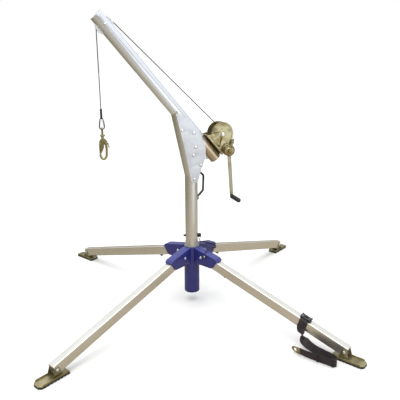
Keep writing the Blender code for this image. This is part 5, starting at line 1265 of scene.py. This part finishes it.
def makeDrum(look):
    # Core, hubs and two flanges whose rims are rolled; the gear is riveted outside the front one.
    core, rim, half, flange, hub = look["core"], look["rim"], look["half"], look["flange"], look["hub"]
    rear, front = winch["rear"] + winch["side"] + gap, winch["front"] - winch["side"] - gap
    bore = look["axle"] + gap
    a = np.radians(np.linspace(0, 180, 9))
    roll = flange / 2 - 0.0002
    edge = [(rim - roll + roll * math.sin(x), half + flange / 2 + roll * math.cos(x)) for x in a]
    boss = [(bore, front), (hub - 0.0006, front), (hub, front - 0.0006), (hub, half + flange + 0.0004),
            (hub + 0.0004, half + flange)]
    out = [(rim - 0.010, half + flange), (rim - 0.008, half + flange - 0.0003),
           (rim - 0.0055, half + flange - 0.0003), *edge, (rim - 0.0055, half + 0.0002),
           (core + 0.003, half), (core, half - 0.003)]
    back = [(r, -z) for r, z in reversed(out)]
    tail = [(hub + 0.0004, -half - flange), (hub, -half - flange - 0.0004), (hub, rear + 0.0006),
            (hub - 0.0006, rear), (bore, rear)]
    body = turned("drumBody", [*boss, *out, *back, *tail], paints["gold"], boomAxle(*drumAt), sides=120,
                  loop=True)
    g = gear
    place = boomAxle(*drumAt, g["y"] + g["width"] / 2)
    turn = math.radians(90.0) - g["toward"]
    teeth = toothed(g["teeth"], g["module"], turn)
    wheel = slab("gear", [teeth, ringOf((0, 0), 0.0585, 96)], g["width"], paints["gold"], place,
                 edge=0.0004, angle=30)
    web = [(hub - 0.0006, g["y"] + 0.0002), (0.0590, g["y"] + 0.0002), (0.0590, g["y"] + 0.0056),
           (0.0570, g["y"] + 0.0052), (0.0210, g["y"] + 0.0052), (0.0195, g["y"] + g["width"]),
           (hub - 0.0006, g["y"] + g["width"])]
    disc = turned("web", web, paints["gold"], boomAxle(*drumAt), sides=96, loop=True)
    fitted(joined("winchDrum", body, wheel, disc), "drum", "gold_zinc", "winch_drum")


def makePawl(look):
    # An outline in its own axes: a from its pivot to the shaft, b across, so a corner is x a + y b.
    toward = np.array(look["shaft"]) - np.array(look["pawl"])
    far = np.linalg.norm(toward)
    x = toward / far
    y = np.array((-x[1], x[0]))
    reach = far - 0.030 - 0.0006
    corners = [(reach, -0.004, 0.0004), (reach, 0.001, 0.0008), (reach - 0.009, 0.0035, 0.01),
               (0.006, 0.0088, 0.006), (-0.018, 0.007, 0.005), (-0.020, -0.001, 0.004),
               (-0.006, -0.008, 0.006), (reach * 0.6, -0.0068, 0.01)]
    outline = rounded([(*(x * a + y * b), r) for a, b, r in corners], step=0.1)
    place = alongBoom(0.0528 + 0.003) @ shift(*look["pawl"], 0)
    made = slab("pawlArm", [outline, ringOf((0, 0), 0.0044, 32)], 0.005, paints["olive"], place,
                edge=0.0007, steps=2)
    fitted(made, "pawl", "olive_zinc", "pawl")


makeWinchFrame(winch)
makeDrum(drum)
makePawl(winch)
print("winch ready")


# Crank: the pinion's shaft with its disc and nut, the ratchet wheel, and the arm with disc, cap and grip
crank = {"lean": math.radians(4.5), "length": 0.285, "width": 0.020, "steel": 0.006, "disc": 0.034,
         "discY": 0.0485, "ratchetY": 0.0528, "outerY": 0.0591, "armY": 0.0661, "cap": 0.011,
         "shaft": 0.008, "ratchet": 0.030, "ratchetTeeth": 12, "gripR": 0.0135, "grip": 0.098, "ribs": 17}
crankDown = Vector((math.sin(crank["lean"]), 0, -math.cos(crank["lean"])))
crankAt = Vector(onBoom(winch["shaft"][0], 0, winch["shaft"][1]))
crankPlace = axesAt(crankAt, crankDown.cross(Vector(boomY)), crankDown, boomY)


def makeShaft(look):
    # One profile from the rear nut to the threaded end, turned, with the pinion's teeth on it.
    r, y0, out = look["shaft"], winch["rear"], look["armY"] + look["steel"] + look["cap"]
    inner = look["discY"]
    profile = [(0.0, y0 - 0.006), (r - 0.0008, y0 - 0.006), (r, y0 - 0.0052), (r + 0.004, y0 - 0.005),
               (r + 0.004, y0 - gap), (r, y0 - gap), (r, inner), (look["disc"] - 0.0006, inner),
               (look["disc"], inner + 0.0006), (look["disc"], inner + 0.0034),
               (look["disc"] - 0.0006, inner + 0.004), (r, inner + 0.004)]
    low = out + 0.0002
    profile += [(r, low), (0.0128, low), (0.0128, low + 0.0010), (0.0118, low + 0.0010, 1.0),
                (0.0126, low + 0.0016, 1.0), (0.0126, low + 0.0060, 1.0), (0.0118, low + 0.0070, 0.6),
                (0.0096, low + 0.0074), (0.0090, low + 0.0068), (r - 0.0002, low + 0.0068)]
    threads = np.linspace(low + 0.0072, out + 0.0085, 7)
    profile += [(r - (0.0009 if i % 2 else 0.0002), z) for i, z in enumerate(threads)]
    profile += [(r - 0.0016, out + 0.0097), (0.0, out + 0.0097)]
    shaft = turned("shaft", profile, paints["gold"], crankPlace, sides=72, angle=28)
    g = gear
    toward = -(boomX * math.cos(g["toward"]) + boomZ * math.sin(g["toward"]))
    flatX, flatY = np.array(crankDown.cross(Vector(boomY))), np.array(crankDown)
    phase = math.atan2(toward @ flatY, toward @ flatX) + math.pi / g["pinion"]
    wheel = slab("pinion", [toothed(g["pinion"], g["module"], phase), ringOf((0, 0), r - 0.0005, 40)],
                 g["width"] - 0.001, paints["bright"], crankPlace @ shift(0, 0, g["y"] + g["width"] / 2),
                 edge=0.0004, angle=30)
    fitted(joined("pinionShaft", shaft, wheel), "crank", "bright_steel", "pinion_shaft")


def makeRatchet(look):
    # Saw teeth (reach sin a, reach cos a): a steep face, a short land, then a slow fall.
    turn = np.array((0.0, 0.03, 0.075, 0.12, 0.2, 0.45, 0.75))
    reach = look["ratchet"] - np.array((0.0052, 0.0036, 0.0003, 0.0, 0.0, 0.0014, 0.0034))
    a = 2 * np.pi * (np.arange(look["ratchetTeeth"])[:, None] + turn[None, :]) / look["ratchetTeeth"]
    teeth = np.stack([reach * np.sin(a), reach * np.cos(a)], -1).reshape(-1, 2)
    made = slab("ratchetWheel", [teeth, ringOf((0, 0), look["shaft"] + gap, 40)], 0.006, paints["olive"],
                crankPlace @ shift(0, 0, look["ratchetY"] + 0.003), edge=0.0005, angle=30)
    fitted(made, "crank", "olive_zinc", "ratchet_wheel")


def makeCrank(look):
    # A flat bar with round ends between a pressure disc and a dished cap, and the grip's pin at its foot.
    w, y, t, n = look["width"] / 2, look["armY"], look["steel"], look["length"]
    outline = rounded([(0.0110, -0.015, 0.0092), (w, n + 0.012, 0.0094), (-w, n + 0.012, 0.0094),
                       (-0.0110, -0.015, 0.0092)], step=0.1)
    hole = look["shaft"] + gap
    bar = slab("bar", [outline, ringOf((0, 0), hole)], t, paints["arm"],
               crankPlace @ shift(0, 0, y + t / 2), edge=0.0008, steps=2)
    r, d, top = look["disc"], look["outerY"], y + t + look["cap"]
    disc = [(hole, d), (r - 0.0006, d), (r, d + 0.0006), (r, d + 0.0044), (r - 0.0006, d + 0.005),
            (0.0176, d + 0.005), (0.0170, d + 0.0056), (0.0170, y + 0.0005), (hole, y + 0.0005)]
    low = y + t - 0.0002
    cap = [(hole, low), (r - 0.0010, low), (r, low + 0.0010), (r, top - 0.0040), (r - 0.0012, top - 0.0014),
           (r - 0.0040, top - 0.0002), (r - 0.0060, top - 0.0004), (r - 0.0085, top - 0.0030),
           (0.0200, top - 0.0036), (0.0180, top - 0.0020), (0.0168, top - 0.0002), (0.0140, top - 0.0002),
           (hole, top - 0.0002)]
    pieces = [bar] + [turned(name, p, paints["gold"], crankPlace, sides=96, loop=True)
                      for name, p in (("disc", disc), ("cap", cap))]
    end = y + t + look["grip"] + 2 * gap
    pieces.append(boltShape("gripPin", 0.005, look["grip"] + 0.004, 0.009, 0.004, paints["dark"],
                            crankPlace @ shift(0, n, end), nut=False, washer=0.0004))
    fitted(joined("crankArm", *pieces), "crank", "gold_zinc", "crank_arm")
    low, high = y + t + gap, end - gap
    ribs = look["ribs"]
    k = np.linspace(0, 1, ribs * 8 + 1)
    wave = np.abs(np.cos(np.pi * ribs * k)) ** 0.6
    body = [(look["gripR"] * (0.87 + 0.13 * v), low + 0.004 + x * (high - low - 0.008))
            for x, v in zip(k, wave)]
    profile = [(0.0053, low), (look["gripR"] * 0.86, low), (look["gripR"] * 0.95, low + 0.0012), *body,
               (look["gripR"] * 0.95, high - 0.0012), (look["gripR"] * 0.86, high), (0.0053, high)]
    grip = turned("crankGrip", profile, paints["black"], crankPlace @ shift(0, n, 0), sides=64, loop=True,
                  angle=60)
    fitted(grip, "grip", "black_plastic", "crank_grip")


makeShaft(crank)
makeRatchet(crank)
makeCrank(crank)
print("crank ready")


# Hook under the fall: sleeve, eye and thimble, swivel bail, snap hook with its gate and lock
hook = {
    "sleeve": (1.236, 1.180, 0.0062), "crimps": 3.5, "thimble": 0.0105, "thimbleR": 0.0020,
    "bail": (0.0032, 0.0115, 1.134), "neck": 1.092, "stem": 0.0042, "turn": math.radians(-14.0),
    "radius": 0.0065, "slot": 0.0028, "outer": 0.00525, "rivet": 0.0016,  # half widths across, and the pivots
    "line": ((0.004, -0.020), (0.0150, -0.040), (0.0185, -0.064), (0.0185, -0.088), (0.0165, -0.108),
             (0.0090, -0.1225), (0.0, -0.1270), (-0.0090, -0.1225), (-0.0155, -0.110), (-0.0165, -0.0975)),
    "head": ((-0.021, -0.031, 0.005), (-0.012, -0.016, 0.008), (0.010, -0.012, 0.008),
             (0.025, -0.030, 0.008), (0.021, -0.047, 0.006), (-0.011, -0.046, 0.006)),
    "gateAt": (-0.0155, -0.0385),
    "gate": ((-0.005, 0.0045, 0.004), (0.005, 0.0045, 0.004), (0.0035, -0.030, 0.003),
             (0.0030, -0.0575, 0.001), (-0.0045, -0.0575, 0.001), (-0.0050, -0.025, 0.02)),
    "cheek": ((-0.0055, 0.0060, 0.004), (0.0075, 0.0070, 0.005), (0.0200, -0.0040, 0.005),
              (0.0215, -0.0200, 0.006), (0.0160, -0.0360, 0.006), (0.0045, -0.0570, 0.003),
              (-0.0040, -0.0570, 0.001), (-0.0055, -0.0250, 0.02)),
    "lockAt": (0.0230, -0.0360),
    "lock": ((-0.0042, 0.0040, 0.003), (0.0042, 0.0040, 0.003), (0.0105, -0.016, 0.006),
             (0.0110, -0.030, 0.002), (0.0070, -0.030, 0.002), (0.0040, -0.012, 0.006),
             (-0.0042, -0.0042, 0.003)),
}
hookTurn = Matrix.Rotation(hook["turn"], 4, "Z")
hookPlace = shift(rope["fallX"], 0, hook["neck"] - 0.0043) @ hookTurn


def teardrop(half, low, high, spread):
    # A half circle below, with sides that close in to spread at the top.
    centre = low + half
    arc = [(-half * math.cos(a), 0.0, centre - half * math.sin(a)) for a in np.linspace(0.0, math.pi, 17)]
    rise = centre + 0.55 * (high - centre)
    return [(-spread, 0.0, high), (-half * 0.8, 0.0, rise), *arc, (half * 0.8, 0.0, rise),
            (spread, 0.0, high)]


def makeEye(look):
    # The sleeve's radius ripples as 0.965 + 0.035 sin; teardrops of rope and lining hang from it.
    top, low, r = look["sleeve"]
    x = rope["fallX"]
    drop = low - top
    k = np.linspace(0, 1, 41)
    ends = np.minimum(1.0, 0.72 + 6 * np.minimum(k, 1 - k))
    shrink = r * (0.965 + 0.035 * np.sin(2 * np.pi * look["crimps"] * k)) * ends
    sleeve = turned("sleeve", [(0.0, drop), *[(v, drop * (1 - t)) for t, v in zip(k, shrink)], (0.0, 0.0)],
                    paints["black"], shift(x, 0, top), sides=32)
    bottom = look["bail"][2] - top - look["bail"][0] - look["thimbleR"] - gap
    ropeLow = bottom - look["thimbleR"] - rope["radius"] + 0.0006
    wide = look["thimble"] + look["thimbleR"] + rope["radius"] - 0.0006
    at = np.array((x, 0, top))
    loop = swept("loop", evenly(through(teardrop(wide, ropeLow, drop + 0.012, 0.0022), 120), 0.001) + at,
                 rope["radius"], paints["wire"], sides=14, strands=6, lay=0.032)
    inner = evenly(through(teardrop(look["thimble"], bottom, drop - 0.004, 0.0015), 120), 0.001) + at
    lining = swept("lining", inner, look["thimbleR"], paints["bright"], sides=14, flatten=1.25)
    fitted(joined("ropeEye", sleeve, loop, lining), "rope_end", "black_plastic", "rope_eye")


def makeBail(look):
    # A bow of half a circle over two legs, on a turned collar.
    r, half, top = look["bail"]
    x, collar = rope["fallX"], look["neck"]
    a = np.linspace(0.0, math.pi, 25)
    arc = [(x, -half * math.cos(v), top - half + half * math.sin(v)) for v in a]
    line = [(x, -half * 0.86, collar + 0.0005), (x, -half * 0.93, (collar + top - half) / 2), *arc,
            (x, half * 0.93, (collar + top - half) / 2), (x, half * 0.86, collar + 0.0005)]
    bow = swept("bow", evenly(line, 0.0008), r, paints["hook"], sides=24)
    bore = look["stem"] + gap
    ring = [(bore, collar - 0.004), (0.0118, collar - 0.004), (0.0132, collar - 0.0030),
            (0.0135, collar - 0.0018), (0.0135, collar + 0.0018), (0.0128, collar + 0.0032),
            (0.0112, collar + 0.004), (bore, collar + 0.004)]
    rim = turned("rim", ring, paints["hook"], shift(x, 0, 0), sides=56, loop=True)
    fitted(joined("swivelBail", bow, rim), "bail", "olive_zinc", "swivel_bail")


def flatOnHook(y, place=(0, 0)):  # a flat in the hook's own (x, z), about a place there, at this y
    return hookPlace @ shift(place[0], y, place[1]) @ standXZ


def domed(name, radius, high, paint, place):  # a pin whose two ends are riveted over
    head = radius * 1.9
    side = [(radius, 0.0), (radius, high - 0.0003), (head, high - 0.0003), (head * 0.95, high + 0.0003),
            (head * 0.6, high + 0.0009), (0.0, high + 0.0011)]
    return turned(name, [(r, -z) for r, z in reversed(side[1:])] + side, paint, place, sides=28)


def makeHook(look):
    # A forged bow between two cheeks; the gate and the lock lever turn in the slots between them.
    paint, half, rivet = paints["hook"], look["slot"], look["rivet"]
    path = evenly(through([(x, 0, z) for x, z in look["line"]], 160), 0.0008)
    far = np.linspace(0, 1, len(path))
    thick = look["radius"] * (0.90 + 0.10 * np.sin(np.pi * far) ** 0.6)
    nose = np.clip((1 - far) * len(path) * 0.0008 / look["radius"], 0, 1)
    thick = thick * np.sqrt(np.clip(1 - (1 - nose) ** 2, 0.02, 1))
    bow = swept("bow", path, thick, paint, sides=28)
    (gx, gz), (lx, lz) = look["gateAt"], look["lockAt"]
    boxes = ((gx - 0.0075, gz - 0.030, gx + 0.0085, gz + 0.0065),
             (lx - 0.0075, lz - 0.030, lx + 0.02, lz + 0.0062))
    tools = [slab("slotTool", [np.array(((a, b), (c, b), (c, d), (a, d)))], 2 * half, paint, standXZ,
                  edge=0.00001) for a, b, c, d in boxes]
    bow = carved(bow, *tools)
    bow.data.transform(hookPlace)
    stem = [(0.0, 0.0120), (0.0050, 0.0120), (0.0060, 0.0110), (0.0060, 0.0088), (look["stem"], 0.0086),
            (look["stem"], 0.0), (0.0080, -0.0001), (0.0085, -0.0008), (0.0085, -0.006), (0.0072, -0.012),
            (0.0062, -0.020), (0.0058, -0.024), (0.0, -0.024)]
    pieces = [bow, turned("stem", stem[::-1], paint, hookPlace, sides=48)]
    thin = (look["outer"] - half) / 2
    pieces += [slab("cheek", [rounded(look["head"], 0.1)], 2 * thin, paint, flatOnHook(s * (half + thin)),
                    edge=0.0008, steps=2) for s in (-1, 1)]
    core = rounded([(gx + 0.0087, -0.0455, 0.0), (gx + 0.0087, -0.0200, 0.004), (0.008, -0.0135, 0.005),
                    (lx - 0.0077, -0.0190, 0.003), (lx - 0.0077, -0.0460, 0.0)])
    pieces.append(slab("core", [core], 2 * half + 0.0004, paint, flatOnHook(0), edge=0.0002))
    across = hookPlace @ shift(gx, 0, gz) @ standXZ
    pieces.append(domed("gateRivet", rivet, 0.0090, paints["bright"], across))
    pieces.append(domed("lockRivet", rivet, 0.0056, paints["bright"], hookPlace @ shift(lx, 0, lz) @ standXZ))
    fitted(joined("hookBody", *pieces), "hook", "olive_zinc", "hook_body")
    pin = ringOf((0, 0), rivet + gap, 24)
    gate = [slab("blade", [rounded(look["gate"], 0.1), pin], 0.005, paint, flatOnHook(0, look["gateAt"]),
                 edge=0.0006, steps=2)]
    gate += [slab("cheek", [rounded(look["cheek"], 0.1), pin], 0.0015, paint,
                  flatOnHook(s * 0.00795, look["gateAt"]), edge=0.0004, steps=2) for s in (-1, 1)]
    web = rounded([(-0.0055, -0.0165 / 2, 0.002), (-0.0015, -0.0165 / 2, 0.0008),
                   (-0.0015, 0.0165 / 2, 0.0008), (-0.0055, 0.0165 / 2, 0.002)])
    gate.append(slab("web", [web], 0.043, paint, hookPlace @ shift(gx, 0, gz - 0.0345), edge=0.0005, steps=2))
    fitted(joined("hookGate", *gate), "gate", "olive_zinc", "hook_gate")
    lock = slab("gateLock", [rounded(look["lock"], 0.1), pin], 0.005, paint, flatOnHook(0, look["lockAt"]),
                edge=0.0007, steps=2)
    fitted(lock, "lock", "olive_zinc", "gate_lock")


makeEye(hook)
makeBail(hook)
makeHook(hook)
print("hook ready")


# Mast pin with its head and ring, and the clip that holds the lanyard on the hub
mastPin = {"z": 0.4366, "radius": 0.0065, "head": 0.0125, "length": 0.020, "lobes": 6, "ring": 0.0062,
           "wire": 0.0016}


def makePin(look):
    # Turned; the grip's radius is head (0.955 + 0.045 |sin|^0.5), and the ring a swept circle.
    face, r, head = plates["face"], look["radius"], look["head"]
    reach, tip = face + look["length"], -face - 0.012
    place = axesAt((0, 0, look["z"]), radial(70.0), up, pinOut)
    k = np.linspace(0, 1, 49)
    grip = head * (0.955 + 0.045 * np.abs(np.sin(np.pi * look["lobes"] * k)) ** 0.5)
    profile = [(0.0, tip), (r - 0.0025, tip), (r - 0.0008, tip + 0.0012), (r, tip + 0.0035), (r, face),
               (head - 0.002, face), (head - 0.0004, face + 0.0012)]
    profile += [(g, face + 0.002 + t * (look["length"] - 0.005)) for t, g in zip(k, grip)]
    profile += [(head - 0.0010, reach - 0.0014), (head - 0.003, reach - 0.0001), (head - 0.0052, reach),
                (head - 0.0060, reach - 0.0008), (0.0, reach - 0.0008)]
    body = turned("pin", profile, paints["black"], place, sides=64)
    a = np.linspace(0, 2 * np.pi, 48, endpoint=False)
    centre = pinOut * (face + look["length"] / 2) + up * (look["z"] - head - look["ring"] + 0.0027)
    ring = swept("ring", centre + pinOut * look["ring"] * np.sin(a)[:, None]
                 + up * look["ring"] * np.cos(a)[:, None], look["wire"], paints["bright"], sides=16,
                 loop=True)
    fitted(joined("mastPin", body, ring), "pin", "black_plastic", "mast_pin")


clip = {"half": 0.010, "low": -0.008, "high": 0.009, "corner": 0.003, "thick": 0.0075, "edge": 0.0012}


def makeClip(look):
    # A small block with its screw, standing off the channel's side.
    place = axesAt(clipAt, legOut, up, -legSide)
    outline = panel(-look["half"], look["low"], look["half"], look["high"], look["corner"])
    body = slab("clip", [outline], look["thick"], paints["black"], place @ shift(0, 0, look["thick"] / 2),
                edge=look["edge"], steps=3)
    screw = smallScrew(place @ shift(0, 0, look["thick"] - 0.0001))
    fitted(joined("lanyardClip", body, screw), "base", "black_plastic", "lanyard_clip")


makePin(mastPin)
makeClip(clip)
print("pin ready")


# Strap hardware: buckle and lever on the leg's top, brass tongue on the free end
buckle = {"half": 0.024, "deep": 0.020, "steel": 0.002, "hinge": (0.012, 0.007)}


def makeBuckle(look):
    # A folded tray, whose cheeks carry a cross bar, and a cam lever on the bar with a window.
    low = legHalf[1] + 2 * strap["thick"] + 2 * gap
    half, deep = look["half"], look["deep"]
    place = axesAt(onLeg(strapX, 0, low), legAlong, legSide, legUp)
    floor = panel(-half - 0.006, -deep, half + 0.006, deep, 0.002)
    pieces = [slab("tray", [floor], look["steel"], paints["black"], place @ shift(0, 0, 0.001), edge=0.0005,
                   steps=2)]
    cheek = rounded([(-0.019, 0.001, 0.0), (0.019, 0.001, 0.0), (0.0185, 0.012, 0.0045),
                     (0.004, 0.012, 0.008), (-0.019, 0.0062, 0.003)])
    pieces += [slab("cheek", [cheek], 0.003, paints["black"],
                    place @ shift(s * (half + 0.0045), 0, 0) @ standYZ, edge=0.0007, steps=2)
               for s in (-1, 1)]
    hinge = place @ shift(0, *look["hinge"])
    ends = half + 0.0058
    pieces.append(turned("bar",
                         [(0.0, -ends), (0.0016, -ends), (0.0020, -ends + 0.0004), (0.0020, ends - 0.0004),
                          (0.0016, ends), (0.0, ends)], paints["bright"], hinge @ standYZ, sides=28))
    fitted(joined("strapBuckle", *pieces), "leg_4", "black_plastic", "strap_buckle")
    reach = half + 0.0025
    plate = rounded([(-reach, -0.030, 0.004), (reach, -0.030, 0.004), (reach, -0.0012, 0.0),
                     (-reach, -0.0012, 0.0)])
    window = panel(-0.013, -0.024, 0.013, -0.009, 0.002)
    lever = [slab("plate", [plate, window], 0.0026, paints["dark"], hinge @ shift(0, 0, 0.0021),
                  edge=0.0006, steps=2)]
    barrel = [(0.0023, -reach), (0.0030, -reach), (0.0034, -reach + 0.0004), (0.0034, reach - 0.0004),
              (0.0030, reach), (0.0023, reach)]
    lever.append(turned("barrel", barrel, paints["dark"], hinge @ standYZ, sides=36, loop=True))
    fitted(joined("buckleLever", *lever), "strap_lever", "bright_steel", "buckle_lever")


strapEnd = {
    "thick": 0.0035, "crimp": 0.0050,
    "outline": ((0.0, -0.024, 0.001), (0.010, -0.0245, 0.003), (0.034, -0.021, 0.008), (0.050, -0.010, 0.012),
                (0.050, 0.010, 0.012), (0.034, 0.021, 0.008), (0.010, 0.0245, 0.003), (0.0, 0.024, 0.001)),
    "slot": ((0.022, -0.013, 0.003), (0.036, -0.008, 0.003), (0.036, 0.008, 0.003), (0.022, 0.013, 0.003)),
}


def makeStrapEnd(look):
    # A tongue with a slot, set in the last directions of the strap's path.
    keys = strapKeys()
    path, wide = through([k[0] for k in keys], 52), through([k[1] for k in keys], 52)
    along = path[-1] - path[-4]
    along /= np.linalg.norm(along)
    side = wide[-1] - along * (wide[-1] @ along)
    side /= np.linalg.norm(side)
    place = axesAt(path[-1] + along * gap, along, side, np.cross(along, side))
    outline, slot = rounded(look["outline"], 0.1), rounded(look["slot"], 0.1)
    plate = slab("tongue", [outline, slot], look["thick"], paints["gold"], place, edge=0.0009, steps=3)
    fold = panel(0.0006, -0.0232, 0.0120, 0.0232, 0.002)
    crimp = slab("crimp", [fold], look["crimp"], paints["gold"], place, edge=0.0012, steps=3)
    fitted(joined("strapEnd", plate, crimp), "leg_4", "gold_zinc", "strap_end")


makeBuckle(buckle)
makeStrapEnd(strapEnd)
print("strap hardware ready")
